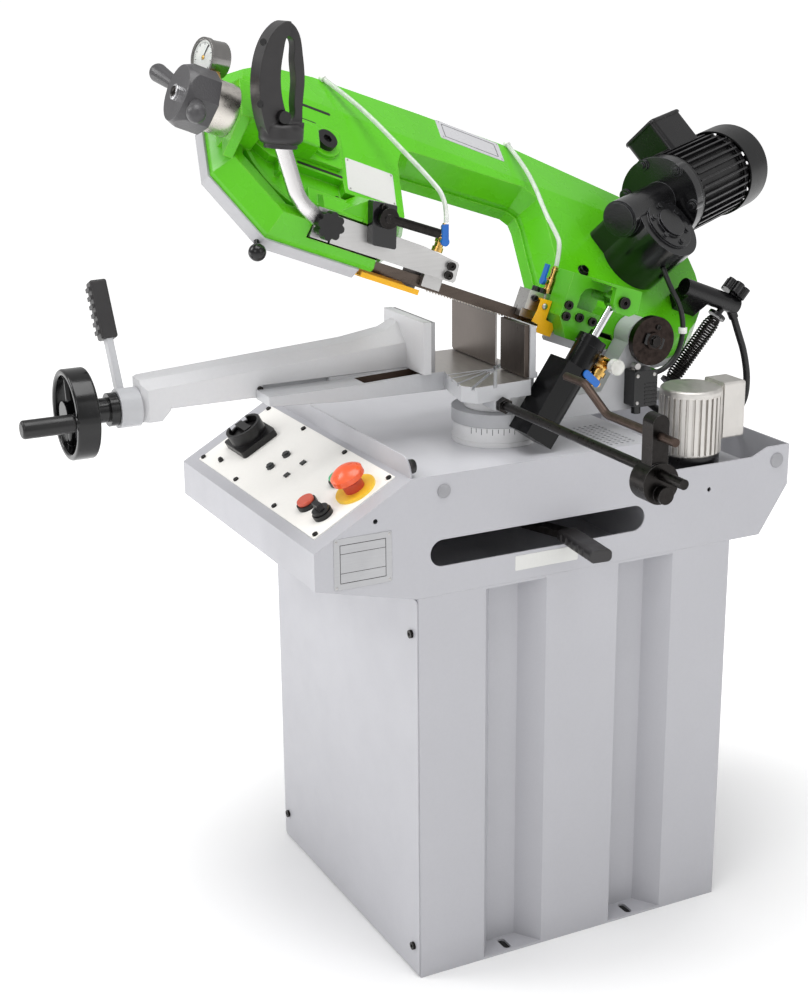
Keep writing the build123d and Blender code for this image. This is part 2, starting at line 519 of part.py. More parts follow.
# cover over the wheels on the far side: shallow lid of the same outline
lid = slab(inset(OUT, -3), -15, 4) - slab(inset(OUT, 0.6), -13, 5) - cz(140.6, -13, 5, U_IDLER, R_WHEEL) - cz(140.6, -13, 5, U_IDLER + 9, R_WHEEL) - bx(U_IDLER, U_IDLER + 9, R_WHEEL - 140.6, R_WHEEL + 140.6, -13, 5)
lid -= bx(-460, -385, -26, 13, -20, 15) + bx(-160, -100, -13, 13, -20, 15)
# ball knob that holds the lid
for u in (-612,):
    lid += rod((u, -17, -6), (u, -30, -6), 4) + Pos(u, -36, -6) * Sphere(12)
lid = BOW * lid
lid -= bx(133.4, 260, 62, 360, 820, 966)
lid = lid.solids().sort_by(SortBy.VOLUME)[-1]

# blade: two half turns, the upper run and the twisted lower run
ring = (cz(RW + BLADE_T, -BLADE_W / 2, BLADE_W / 2, UI, RW) - cz(RW, -20, 20, UI, RW)) - bx(UI, UI + 300, -100, 400, -20, 20)
ring2 = (cz(RW + BLADE_T, -BLADE_W / 2, BLADE_W / 2, UD, RW) - cz(RW, -20, 20, UD, RW)) - bx(UD - 300, UD, -100, 400, -20, 20)
blade = ring + ring2 + bx(UI, UD, 2 * RW, 2 * RW + BLADE_T, -BLADE_W / 2, BLADE_W / 2)


def sec(u, ang):
    pl = Plane(origin=(u, -BLADE_T / 2, 0), x_dir=(0, 1, 0), z_dir=(1, 0, 0))
    return pl * (Rot(0, 0, -ang) * Rectangle(BLADE_T, BLADE_W))


TW = 5
for u0, u1 in ((UI, -345.0), (UD, -145.0)):
    for k in range(TW):
        f0, f1 = k / TW, (k + 1) / TW
        blade += loft([sec(u0 + (u1 - u0) * f0, TILT * f0), sec(u0 + (u1 - u0) * f1, TILT * f1)], ruled=True)
# the straight cutting run between the two guides is a length of its own; its butt ends stand inside the guides
blade += extrude(sec(-345.0, TILT), 4.9) + extrude(sec(-179.9, TILT), 34.9)
run = extrude(sec(-340.0, TILT), 160.0)
save("saw_blade", LIFT * BOW * blade, LIFT * BOW * run)

# idler wheel, block and tensioner
axle_h = 30.0
iw = cz(RW - 0.8, -10, 10, UI, RW)
iw -= (cz(118, 3, 12, UI, RW) - cz(30, 0, 20, UI, RW)) + (cz(118, -12, -3, UI, RW) - cz(30, -20, 0, UI, RW))
for k in range(5):
    iw -= cz(22, -20, 20, UI + 74 * math.cos(1.2566 * k), RW + 74 * math.sin(1.2566 * k))
iw -= cz(12 + FIT, -30, 30, UI, RW)
save("idler_wheel", LIFT * BOW * iw)
blk = bx(UI - 52, UI + 30, RW - 34, RW + 34, FACE_H + 0.4, 51)
blk = soft(blk, blk.edges().filter_by(Axis.Z), 6)
lug = bx(UI - 50, UI - 20, TEN_S - 19, TEN_S + 19, 50, 76)
lug = soft(lug, lug.edges().filter_by(Axis.Z) + lug.faces().sort_by(Axis.Z)[-1].edges(), 4)
cap = cz(15.5, 56, 64, UI, RW) - Pos(UI, RW, 64) * extrude(RegularPolygon(7, 6), 5, both=True)
blk += lug + cz(24, 50, 56, UI, RW) + cap
blk += cz(12, -9, FACE_H + 1, UI, RW) + cz(16, 10.6, FACE_H + 1, UI, RW).intersect(bx(UI - 40, UI + 40, RW - 13.5, RW + 13.5, 0, 80)).solids()[0]
blk -= rod((UI - 60, TEN_S, TEN_H), (UI - 24, TEN_S, TEN_H), 8.6)
save("idler_block", LIFT * BOW * blk)
cup = rod((-682.2, TEN_S, TEN_H), (-713, TEN_S, TEN_H), 35) - rod((-670, TEN_S, TEN_H), (-720, TEN_S, TEN_H), 8.6)
gau_n = Vector(-0.967, -0.262, 0.035).normalized()
gau_d = Vector(-721, 198, 68)               # centre of the dial glass
gau_b = gau_d - gau_n * 30
stem = rod((-697, TEN_S + 30, 63), tuple(gau_d - gau_n * 18), 6.5) + rod((-697, TEN_S + 34, 63.4), (-698.6, TEN_S + 42, 64), 9)
gv = rod(tuple(gau_b), tuple(gau_d), 24.5) + rod(tuple(gau_d - gau_n * 7), tuple(gau_d), 26.5)
gau = cup + stem + gv
gau -= rod(tuple(gau_d - gau_n * 3), tuple(gau_d + gau_n * 3), 23.4)
save("tension_gauge", LIFT * BOW * gau)
hub = Plane(origin=(-713.6, TEN_S, TEN_H), z_dir=(-1, 0, 0)).location * extrude(RegularPolygon(42, 8), 44)
hub_c = cone((-713, TEN_S, TEN_H), (-758, TEN_S, TEN_H), 55, 37)
hub = hub & hub_c
hub += rod((-756, TEN_S, TEN_H), (-761, TEN_S, TEN_H), 10.5) + rod((-716, TEN_S, TEN_H), (UI - 26, TEN_S, TEN_H), 8)
for a_deg in (148, 328):
    a = math.radians(a_deg)
    d = (math.cos(a), math.sin(a))
    tip = (-757, TEN_S + 90 * d[0], TEN_H + 90 * d[1])
    hub += cone((-738, TEN_S + 30 * d[0], TEN_H + 30 * d[1]), tip, 7.5, 12.6) + Pos(*tip) * Sphere(12.6)
save("tension_hub", LIFT * BOW * hub)

# drive: wheel with gear shaft, gearbox, motor
M = (math.cos(math.radians(38)), math.sin(math.radians(38)))
Q = (-M[1], M[0])
HW = 112.0
NP = (UD + 47 * Q[0], RW + 47 * Q[1])


def mq(m, q, h=HW):
    return (NP[0] + M[0] * m + Q[0] * q, NP[1] + M[1] * m + Q[1] * q, h)


dw = cz(RW - 0.8, -10, 10, UD, RW)
dw -= (cz(118, 3, 12, UD, RW) - cz(36, 0, 20, UD, RW)) + (cz(118, -12, -3, UD, RW) - cz(36, -20, 0, UD, RW))
for k in range(5):
    dw -= cz(22, -20, 20, UD + 76 * math.cos(1.2566 * k), RW + 76 * math.sin(1.2566 * k))
dw += cz(15, -10, 139, UD, RW) + cz(32.3, 97, 127, UD, RW)
save("drive_wheel", LIFT * BOW * dw)
GBX = Pos(NP[0], NP[1], 0) * Rot(0, 0, 38)
gb = cz(54, FACE_H, 134, UD, RW) + rod(mq(-60, 0), mq(66, 0), 28) + rod(mq(58, 0), mq(74, 0), 66)
gb += rod(mq(-64, 0), mq(-52, 0), 25)
gbox = bx(-46, 62, -64, 20, FACE_H, 124)
gbox = soft(gbox, gbox.edges().filter_by(Axis.Z), 10)
gb += GBX * gbox
# bolt lugs and ribs of the motor flange
for k in range(6):
    a = math.radians(15 + 60 * k)
    ca_, sa_ = math.cos(a), math.sin(a)
    if 112 + 58 * sa_ < 60:
        continue
    gb += rod(mq(54, 58 * ca_, HW + 58 * sa_), mq(74, 58 * ca_, HW + 58 * sa_), 9)
    gb += rod(mq(50, 58 * ca_, HW + 58 * sa_), mq(56, 58 * ca_, HW + 58 * sa_), 5)
gb += cz(40, 134, 138, UD, RW) + cz(23, 138, 143, UD, RW)
for k in range(6):
    gb += cz(4, 138, 141.5, UD + 32 * math.cos(1.0472 * k), RW + 32 * math.sin(1.0472 * k))
gb -= cz(36, 92, 132, UD, RW)
gb -= rod(mq(-45, 0), mq(60, 0), 18) + rod(mq(0, 0), mq(80, 0), 13)
gb -= cz(15 + FIT, 0, 140, UD, RW)
gb -= rod(mq(-56, 0), mq(-40, 0), 9 + FIT)
save("gearbox", LIFT * BOW * gb)
mo = rod(mq(74, 0), mq(232, 0), 57)
fins = []
for k in range(34):
    fins.append(Pos(0, 0, 0) * Rot(0, 0, k * 360 / 34) * bx(55, 65, -1.4, 1.4, 86, 226))
MOT = Plane(origin=mq(0, 0), x_dir=(Q[0], Q[1], 0), z_dir=(M[0], M[1], 0)).location
mo += MOT * (cz(64, 74, 84, 0, 0) + cz(62, 222, 232, 0, 0))
mo += [MOT * f for f in fins]
tb_ = bx(52, 107, -32, 32, 128, 214)
tb_ = soft(tb_, tb_.edges().filter_by(Axis.X), 8)
lid_ = bx(107, 113, -34, 34, 126, 216)
lid_ = soft(lid_, lid_.edges().filter_by(Axis.X), 9)
lid_ = soft(lid_, lid_.faces().sort_by(Axis.X)[-1].edges(), 4)
mo += MOT * (tb_ + lid_)
mo -= rod(mq(70, 0), mq(228, 0), 47)
mo -= rod(mq(220, 0), mq(240, 0), 13)
save("drive_motor", LIFT * BOW * mo)
fan = cz(68, 232, 292, 0, 0)
fan = soft(fan, fan.edges().sort_by(Axis.Z)[-1:], 6)
fan = MOT * (fan - cz(65, 220, 286, 0, 0))
holes = []
for rr, n in ((18, 6), (32, 12), (46, 18), (57, 24)):
    for k in range(n):
        holes.append(MOT * cz(4, 280, 300, rr * math.cos(2 * math.pi * k / n), rr * math.sin(2 * math.pi * k / n)))
fan -= holes
save("motor_fan_cover", LIFT * BOW * fan)
rot = rod(mq(-55, 0), mq(270, 0), 9) + rod(mq(-38, 0), mq(52, 0), 14) + rod(mq(95, 0), mq(210, 0), 42) + rod(mq(250, 0), mq(256, 0), 30)
for k in range(6):
    rot += MOT * (Rot(0, 0, 60 * k) * bx(20, 58, -1.5, 1.5, 246, 270))
save("rotor_shaft", LIFT * BOW * rot)

# front guide beam with its guide, guard and tap
BX0, BX1 = 127.0, 144.0
beam = prism_x([(-368, 894.5), (-169, 896), (-166, 899), (-168, 922), (-172, 925), (-230, 931), (-368, 932)], BX0, BX1)
beam += bx(109.5, BX0 + 1, -206, -176, 896, 922)
beam += bx(109.5, 117.4, -206, -176, 878.5, 897) + bx(119.4, 127, -206, -176, 878.5, 897)
for z in (904, 917):
    beam += cx(6, 143, 150, -181, z) - Pos(150, -181, z) * Rot(0, 90, 0) * extrude(RegularPolygon(3, 6), 3, both=True)
gslot = bx(117.4, 119.4, -300, -150, 870, 895.5)
beam -= gslot
save("guide_beam", LIFT * beam)
gf = bx(109.5, 112, -300, -206.2, 864.5, 876) + bx(109.5, 112, -232, -206.2, 874, 897) + bx(109.5, 127, -300, -206.2, 864.5, 867)
gf += bx(109.5, 126.8, -232, -206.2, 896, 898.5) + bx(124.5, 127, -300, -206.2, 864.5, 872)
save("blade_guard_front", LIFT * gf)


def tap(x, y, z, ahead=False):
    t = cz(8, z, z + 7, x, y) + cz(6.2, z + 7, z + 24, x, y) + cz(7.5, z + 13, z + 20, x, y) + cz(4.4, z + 24, z + 40, x, y) + cz(5.4, z + 33, z + 36, x, y)
    t += cy(5.2, y - 11, y, x, z + 16) if ahead else cx(5.2, x, x + 11, y, z + 16)
    return t


def tap_lever(x, y, z, ahead=False):
    if ahead:
        return cy(6, y - 16, y - 11.4, x, z + 16) + bx(x - 5, x + 5, y - 16, y - 13, z + 16, z + 40)
    return cx(6, x + 11.4, x + 16, y, z + 16) + bx(x + 13, x + 16, y - 5, y + 5, z + 16, z + 40)


FT = (135.0, -204.0, 929.5)
RT = (126.0, -4.0, 924.0)
save("front_tap", LIFT * (tap(*FT) - beam))
flev = tap_lever(*FT)
save("front_tap_lever", LIFT * (Pos(0, FT[1], FT[2] + 16) * Rot(21.2, 0, 0) * Pos(0, -FT[1], -FT[2] - 16) * flev))

# clamp of the beam, with its lever
CLY = -308.0
gc = prism_x([(-334, 966), (-297, 970), (-278, 914), (-314, 910)], 144.6, 160)
gc = soft(gc, gc.edges().filter_by(Axis.X), 3)
gc -= cx(7 + FIT, 150, 170, CLY, 950)
save("guide_clamp", LIFT * gc)
cle = cx(14, 160.5, 172, CLY, 950) + cx(7, 151, 161, CLY, 950) + rod((168, CLY, 950), (168, CLY + 80, 953), 6.5) + cx(6, 171, 174, CLY, 950)
save("clamp_lever", LIFT * cle)

# operator's handle: foot, bent tube, collar and loop grip
foot = bx(127, 148, -400, -373, 894.5, 936)
tpts = [(150, -385, 915), (150, -432, 934), (150, -482, 1000)]
tb, _ = tube_path(tpts, [60], 11)
cd = Vector(0, -0.28, 0.96)
c0 = Vector(150, -479, 990)
COL = Plane(origin=c0, x_dir=(0, 0.96, 0.28), z_dir=(0, -0.28, 0.96)).location
col = cz(22, 0, 8, 0, 0)
ring_ = cz(29, 5, 32, 0, 0)
ring_ = soft(ring_, ring_.edges().filter_by(GeomType.CIRCLE), 9)
col += ring_
outer_pts = [(-24, 16), (-36, 52), (-39, 92), (-32, 128), (-18, 150), (-3, 158), (10, 150), (20, 122), (25, 86), (24, 50), (20, 16), (-2, 10)]
inner_pts = [(4, 36), (-7, 62), (-11, 98), (-8, 126), (-2, 140), (4, 138), (9, 116), (13, 84), (13, 54), (10, 37)]
dpl = Plane(origin=(0, 0, 0), x_dir=(1, 0, 0), z_dir=(0, -1, 0))
grip_o = extrude(dpl * make_face(Spline(*outer_pts, periodic=True)), 16, both=True)
grip_i = extrude(dpl * make_face(Spline(*inner_pts, periodic=True)), 40, both=True)
loop = grip_o - grip_i
loop = soft(loop, [e for e in loop.edges() if e.length > 60], 5)
# the finger guard is slimmer than the grip
loop -= bx(0, 60, 9.5, 40, 34, 200) + bx(0, 60, -40, -9.5, 34, 200)
hnd = foot + tb + COL * (col + loop)
hnd -= COL * (Pos(-6, -24, 40) * Rot(90, 0, 0) * Cylinder(8.4, 30))
# clamping star knob on the foot
STY = -386.0
star = cx(9, 148, 156, STY, 916)
hnd += star
lobes = cx(16, 155, 172, STY, 916)
for k in range(8):
    a = k * math.pi / 4
    lobes += cx(5.5, 155, 172, STY + 14 * math.cos(a), 916 + 14 * math.sin(a))
hnd += lobes
hnd -= cast
hnd = hnd.solids().sort_by(SortBy.VOLUME)[-1]
save("operator_handle", LIFT * hnd)
trig = COL * (Pos(-6, -19, 40) * Rot(90, 0, 0) * Cylinder(8, 12))
save("handle_trigger", LIFT * trig)

# rear guide, its guard and tap
rg = bx(110, 139, -41, -14, 894, 922) + bx(110, 117.4, -41, -14, 882, 895) + bx(119.4, 132, -41, -14, 882, 895)
rg += bx(110, 139, -14.5, 4, 900, 924)
rg += bx(133, 141, -14.5, 4, 900, 924)
rg -= cast
rg -= bx(117.4, 119.4, -60, 20, 870, 895.5)
rg = rg.solids().sort_by(SortBy.VOLUME)[-1]
save("rear_guide", LIFT * rg)
gr_ = prism_x([(-26.9, 915), (-8, 916), (-8, 888), (10, 885.3), (8, 866.4), (-17.5, 867), (-17.8, 878), (-29.8, 880), (-26.7, 897.4)], 150, 151.7)
gr_ += prism_x([(8, 866.4), (-17.5, 867), (-17.5, 869), (8, 868.3)], 122, 151) + bx(138.9, 150.5, -25, -10, 912.5, 914.5)
gr_ -= rg
gr_ -= cast
gr_ -= lid
gr_ = gr_.solids().sort_by(SortBy.VOLUME)[-1]
save("blade_guard_rear", LIFT * gr_)
save("rear_tap", LIFT * (tap(*RT, True) - rg - cast))
rlev = tap_lever(*RT, True)
save("rear_tap_lever", LIFT * rlev)

# spring arm at the rear
sa = bx(86, 128, 68, 96, FACE_H, 84) + rod((80, 82, 82), (185, 82, 82), 14)
sa_l = LIFT * BOW * sa
sa_l += rod(sp(141), sp(185), 5) + rod(sp(141), sp(146), 14)
kn = rod(sp(184), sp(202), 15)
kpl = Plane(origin=sp(193), z_dir=spd).location
for k in range(6):
    a = k * math.pi / 3
    kn += kpl * (Pos(14 * math.cos(a), 14 * math.sin(a), 0) * Cylinder(7, 18))
sa_l += kn
# gland for the motor cable
sa_l += rod((118, 343, 930), (118, 354.5, 908), 7.5)
cast_l = LIFT * cast
gb_l = NODES["gearbox"]
sa_l -= cast_l
sa_l -= gb_l
sa_l = sa_l.solids().sort_by(SortBy.VOLUME)[-1]
save("spring_arm", sa_l)

save("pivot_shaft", LIFT * shaft, LIFT * pin)
save("bow_casting", cast_l)
save("wheel_cover", LIFT * lid)

# coolant hoses, from the top edge of the casting to the taps


def bw(u, s, h):
    v = (LIFT * BOW * Pos(u, s, h)).position
    return (v.X, v.Y, v.Z)


def hm(x, y, z):
    v = (LIFT * Pos(x, y, z)).position
    return (v.X, v.Y, v.Z)


h1 = [bw(-508, 285, 35), (-19.4, -231.9, 1258), (25.3, -211.2, 1226.6), (66, -191, 1191.5), (103, -170, 1157), (130, -152.5, 1126), hm(FT[0], FT[1], FT[2] + 41.2)]
rr1 = cord_radii(h1)
t1, l1 = tube_path(h1, rr1, 3.4)
print("hose_front radii", [round(x) for x in rr1], "vol", t1.volume, math.pi * 3.4 ** 2 * l1)
save("hose_front", t1)
h2 = [bw(-180, 300, 32.5), (-22.7, 56.2, 1147.4), (25.4, 50.8, 1118.4), (67.9, 43.4, 1084.3), (100, 41, 1062), (122, 37, 1046), hm(RT[0], RT[1], RT[2] + 41.2)]
rr2 = cord_radii(h2)
t2, l2 = tube_path(h2, rr2, 3.4)
print("hose_rear radii", [round(x) for x in rr2], "vol", t2.volume, math.pi * 3.4 ** 2 * l2)
save("hose_rear", t2)
c1 = [(118, 354.8, 907.3), (118, 364, 884), (118, 379, 848), (118, 388, 800), (118, 380, 758), (118, 338, 736), (117, 280, 732), (117, 232, 738), (116, 203, 758), (116, 197, 796.8)]
rc1 = cord_radii(c1)
k1, kl1 = tube_path(c1, rc1, 5.5)
print("motor_cable radii", [round(x) for x in rc1], "vol", k1.volume, math.pi * 5.5 ** 2 * kl1)
save("motor_cable", k1)
c2 = [bw(24, 84.6, 100), bw(32, 54, 98), (150, 230, 944), (150, 238, 910), (151, 231, 875), (152, 208, 852), (153, 182, 846), (153, 157.8, 846)]
rc2 = cord_radii(c2)
k2, kl2 = tube_path(c2, rc2, 4.0)
print("switch_cable radii", [round(x) for x in rc2], "vol", k2.volume, math.pi * 4.0 ** 2 * kl2)
save("switch_cable", k2)
for nm, pts in (("hose_front", h1), ("hose_rear", h2), ("motor_cable", c1), ("switch_cable", c2)):
    print("ROUTE", nm, [tuple(round(v, 2) for v in p) for p in pts])
print("done", len(NODES))
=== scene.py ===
import bpy
import bmesh
import math
import random
from mathutils import Vector, Matrix


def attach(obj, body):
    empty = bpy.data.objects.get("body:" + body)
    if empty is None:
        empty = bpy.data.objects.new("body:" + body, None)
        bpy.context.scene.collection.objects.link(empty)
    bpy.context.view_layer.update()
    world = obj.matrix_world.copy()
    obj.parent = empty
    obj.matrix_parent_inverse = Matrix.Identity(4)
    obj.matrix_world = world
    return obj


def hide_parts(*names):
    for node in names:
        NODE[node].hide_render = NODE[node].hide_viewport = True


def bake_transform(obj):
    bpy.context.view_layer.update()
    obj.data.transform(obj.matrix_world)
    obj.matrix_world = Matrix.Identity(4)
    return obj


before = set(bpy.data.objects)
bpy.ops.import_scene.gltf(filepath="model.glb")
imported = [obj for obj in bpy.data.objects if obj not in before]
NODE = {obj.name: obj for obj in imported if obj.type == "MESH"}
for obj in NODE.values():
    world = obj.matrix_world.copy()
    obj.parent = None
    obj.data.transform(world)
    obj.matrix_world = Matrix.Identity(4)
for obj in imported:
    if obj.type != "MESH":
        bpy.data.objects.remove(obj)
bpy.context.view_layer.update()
random.seed(7)
SC = bpy.context.scene
COLL = SC.collection

# ------------------------------------------------------------------ frames (metres)
PIV_Y, PIV_Z = 0.151, 0.908
CA, SA = math.cos(math.radians(21.2)), math.sin(math.radians(21.2))
R2 = math.sqrt(0.5)


def hm(x, y, z):
    """level-bow point in mm to rest point in metres"""
    dy, dz = y / 1000 - PIV_Y, z / 1000 - PIV_Z
    return Vector((x / 1000, PIV_Y + dy * CA + dz * SA, PIV_Z - dy * SA + dz * CA))


def bw(u, s, h):
    """wheel-plane point in mm to rest point in metres"""
    return hm(118 - R2 * s + R2 * h, 151 + u, 883.5 + R2 * (s + h))


BU = Vector((0, CA, -SA))
BS = bw(0, 1000, 0) - bw(0, 0, 0)
BN = bw(0, 0, 1000) - bw(0, 0, 0)
HX, HY, HZ = Vector((1, 0, 0)), Vector((0, CA, -SA)), Vector((0, SA, CA))
PT = math.radians(29.62)
PS, PN = Vector((0, math.cos(PT), math.sin(PT))), Vector((0, -math.sin(PT), math.cos(PT)))


def pan(x, s, n=0.0):
    return Vector((0, -0.418, 0.691)) + Vector((x / 1000, 0, 0)) + PS * (s / 1000) + PN * (n / 1000)


CE = Vector((0, 0.56896, 0.82237))
CY_ = Vector((0, 0.82237, -0.56896))


def cyl(x, y, z):
    return Vector((0.207, -0.043592, 0.805031)) + Vector((x / 1000, 0, 0)) + CY_ * (y / 1000) + CE * (z / 1000)


# ------------------------------------------------------------------ materials


def lin(r, g, b):
    def f(c):
        c /= 255.0
        return c / 12.92 if c <= 0.04045 else ((c + 0.055) / 1.055) ** 2.4
    return (f(r), f(g), f(b), 1.0)


def shade(c, k):
    return (min(1, c[0] * k), min(1, c[1] * k), min(1, c[2] * k), 1.0)


class Mat:
    def __init__(self, name):
        self.m = bpy.data.materials.new(name)
        self.m.use_nodes = True
        self.nt = self.m.node_tree
        self.b = self.nt.nodes["Principled BSDF"]
        self.tc = self.nt.nodes.new("ShaderNodeTexCoord")

    def node(self, kind, **kw):
        n = self.nt.nodes.new(kind)
        for k, v in kw.items():
            setattr(n, k, v)
        return n

    def link(self, a, b):
        self.nt.links.new(a, b)

    def coords(self, scale=(1, 1, 1)):
        mp = self.node("ShaderNodeMapping")
        mp.inputs["Scale"].default_value = scale
        self.link(self.tc.outputs["Object"], mp.inputs["Vector"])
        return mp.outputs["Vector"]

    def noise(self, scale, detail=2.0, stretch=(1, 1, 1), rough=0.5):
        n = self.node("ShaderNodeTexNoise")
        n.inputs["Scale"].default_value = scale
        n.inputs["Detail"].default_value = detail
        n.inputs["Roughness"].default_value = rough
        self.link(self.coords(stretch), n.inputs["Vector"])
        return n.outputs["Fac"]

    def rng(self, src, a, b, lo, hi):
        n = self.node("ShaderNodeMapRange")
        n.inputs["From Min"].default_value = a
        n.inputs["From Max"].default_value = b
        n.inputs["To Min"].default_value = lo
        n.inputs["To Max"].default_value = hi
        self.link(src, n.inputs["Value"])
        return n.outputs["Result"]

    def ramp(self, src, stops):
        n = self.node("ShaderNodeValToRGB")
        el = n.color_ramp.elements
        while len(el) < len(stops):
            el.new(0.5)
        for e, (p, c) in zip(el, stops):
            e.position = p
            e.color = c
        self.link(src, n.inputs["Fac"])
        return n.outputs["Color"]

    def mix(self, fac, a, b, mode="MIX"):
        n = self.node("ShaderNodeMix", data_type="RGBA", blend_type=mode)
        self.link(fac, n.inputs["Factor"])
        for src, idx in ((a, 6), (b, 7)):
            if isinstance(src, tuple):
                n.inputs[idx].default_value = src
            else:
                self.link(src, n.inputs[idx])
        return n.outputs[2]

    def mul(self, a, b):
        n = self.node("ShaderNodeMath", operation="MULTIPLY")
        self.link(a, n.inputs[0])
        if isinstance(b, float):
            n.inputs[1].default_value = b
        else:
            self.link(b, n.inputs[1])
        return n.outputs[0]

    def edge(self, radius):
        bv = self.node("ShaderNodeBevel", samples=4)
        bv.inputs["Radius"].default_value = radius
        ge = self.node("ShaderNodeNewGeometry")
        dt = self.node("ShaderNodeVectorMath", operation="DOT_PRODUCT")
        self.link(bv.outputs["Normal"], dt.inputs[0])
        self.link(ge.outputs["Normal"], dt.inputs[1])
        return bv.outputs["Normal"], self.rng(dt.outputs["Value"], 0.80, 0.985, 1.0, 0.0)

    def bump(self, height, strength, dist, normal=None):
        n = self.node("ShaderNodeBump")
        n.inputs["Strength"].default_value = strength
        n.inputs["Distance"].default_value = dist
        self.link(height, n.inputs["Height"])
        if normal is not None:
            self.link(normal, n.inputs["Normal"])
        return n.outputs["Normal"]

    def set(self, **kw):
        for k, v in kw.items():
            self.b.inputs[k.replace("_", " ")].default_value = v


MATS = {}


def paint(name, col, rough=0.42, var=0.06, grain=700.0, grain_h=0.00025, wear_and_highlight_col=None, bevel=0.0012, coat=0.0, cloud=5.0, low_darkening=None, spec=0.5):
    k = Mat(name)
    base = k.ramp(k.noise(cloud, 3.0), [(0.30, shade(col, 1 - var)), (0.70, shade(col, 1 + var))])
    fine = k.noise(230.0, 2.0)
    base = k.mix(k.rng(fine, 0.35, 0.75, 0.0, 0.10), base, shade(col, 0.80))
    nrm, msk = k.edge(bevel)
    # along the edges the colour is mixed toward the edge colour: partly edge wear, partly a painted highlight, since
    # most edge colours are lighter than the paint
    if wear_and_highlight_col is not None:
        wear_and_highlight_mask = k.mul(msk, k.rng(k.noise(45.0, 3.0), 0.35, 0.65, 0.15, 0.85))
        base = k.mix(wear_and_highlight_mask, base, wear_and_highlight_col)
    # darker towards the bottom of the object in noisy patches, fading out at the upper height given
    if low_darkening is not None:
        z0, z1, amount = low_darkening
        sep = k.node("ShaderNodeSeparateXYZ")
        k.link(k.tc.outputs["Object"], sep.inputs["Vector"])
        low = k.rng(sep.outputs["Z"], z0, z1, amount, 0.0)
        base = k.mix(k.mul(low, k.rng(k.noise(18.0, 4.0), 0.3, 0.7, 0.3, 1.0)), base, shade(col, 0.55))
    k.link(base, k.b.inputs["Base Color"])
    k.link(k.rng(k.noise(28.0, 3.0), 0.3, 0.7, rough - 0.05, rough + 0.07), k.b.inputs["Roughness"])
    k.link(k.bump(k.noise(grain, 2.0), 0.35, grain_h, nrm), k.b.inputs["Normal"])
    k.set(Specular_IOR_Level=spec)
    if coat:
        k.set(Coat_Weight=coat, Coat_Roughness=0.12)
    MATS[name] = k.m
    return k.m


def metal(name, col, rough=0.3, var=0.12, stretch=(1, 1, 1), scale=160.0, bump=0.00012, bevel=0.0007, dark=None, wear_and_highlight_col=None):
    k = Mat(name)
    k.set(Metallic=1.0)
    src = k.noise(scale, 3.0, stretch)
    base = k.ramp(src, [(0.25, shade(col, 1 - var) if dark is None else dark), (0.75, shade(col, 1 + var))])
    cloud = k.noise(22.0, 3.0)
    base = k.mix(k.rng(cloud, 0.4, 0.75, 0.0, 0.30), base, shade(col, 0.75))
    nrm, msk = k.edge(bevel)
    # edges mixed toward a lighter colour: partly burnished wear, partly a painted highlight
    base = k.mix(k.mul(msk, k.rng(k.noise(60.0, 2.0), 0.3, 0.7, 0.2, 0.8)), base, wear_and_highlight_col or shade(col, 1.25))
    k.link(base, k.b.inputs["Base Color"])
    k.link(k.rng(src, 0.25, 0.75, rough - 0.06, rough + 0.08), k.b.inputs["Roughness"])
    k.link(k.bump(src, 0.3, bump, nrm), k.b.inputs["Normal"])
    MATS[name] = k.m
    return k.m


def plastic(name, col, rough=0.38, var=0.10, grain=1400.0, grain_h=0.00012, bevel=0.0006, spec=0.5, coat=0.0):
    k = Mat(name)
    base = k.ramp(k.noise(30.0, 3.0), [(0.3, shade(col, 1 - var)), (0.7, shade(col, 1 + var))])
    nrm, msk = k.edge(bevel)
    # edges mixed toward a lighter colour: partly wear, partly a painted highlight
    base = k.mix(k.mul(msk, k.rng(k.noise(70.0, 2.0), 0.3, 0.7, 0.1, 0.5)), base, (min(1, col[0] * 1.5 + 0.03), min(1, col[1] * 1.5 + 0.03), min(1, col[2] * 1.5 + 0.03), 1))
    k.link(base, k.b.inputs["Base Color"])
    k.link(k.rng(k.noise(45.0, 3.0), 0.3, 0.7, rough - 0.05, rough + 0.08), k.b.inputs["Roughness"])
    k.link(k.bump(k.noise(grain, 2.0), 0.4, grain_h, nrm), k.b.inputs["Normal"])
    k.set(Specular_IOR_Level=spec)
    if coat:
        k.set(Coat_Weight=coat, Coat_Roughness=0.08)
    MATS[name] = k.m
    return k.m


GREY = lin(180, 180, 185)
paint("grey_powder_coat", GREY, rough=0.40, var=0.022, wear_and_highlight_col=lin(204, 203, 208), low_darkening=(0.0, 0.05, 0.22), grain=620.0, grain_h=0.0003)
# tray top faces: a glossier coat, and painted lighter than the grey sides as if lit from above
paint("grey_tray_top_painted_lighter", lin(206, 206, 211), rough=0.34, var=0.025, wear_and_highlight_col=lin(214, 213, 218), grain=620.0, grain_h=0.0001, coat=0.3)
paint("grey_cast_paint", lin(182, 183, 186), rough=0.34, var=0.05, grain=300.0, grain_h=0.0006, wear_and_highlight_col=lin(214, 214, 216), bevel=0.0018, coat=0.15)
paint("light_cast_paint", lin(204, 204, 206), rough=0.36, var=0.04, grain=300.0, grain_h=0.0005, wear_and_highlight_col=lin(226, 226, 228), bevel=0.0018)
paint("turntable_paint", lin(234, 234, 235), rough=0.38, var=0.03, grain=300.0, grain_h=0.0004, wear_and_highlight_col=lin(240, 240, 241), bevel=0.0018)
paint("cylinder_black", lin(10, 10, 11), rough=0.20, var=0.12, grain=400.0, grain_h=0.0002, wear_and_highlight_col=lin(64, 63, 66), bevel=0.0012, spec=0.22)
paint("lid_paint", lin(188, 188, 191), rough=0.38, var=0.03, wear_and_highlight_col=lin(212, 212, 214))
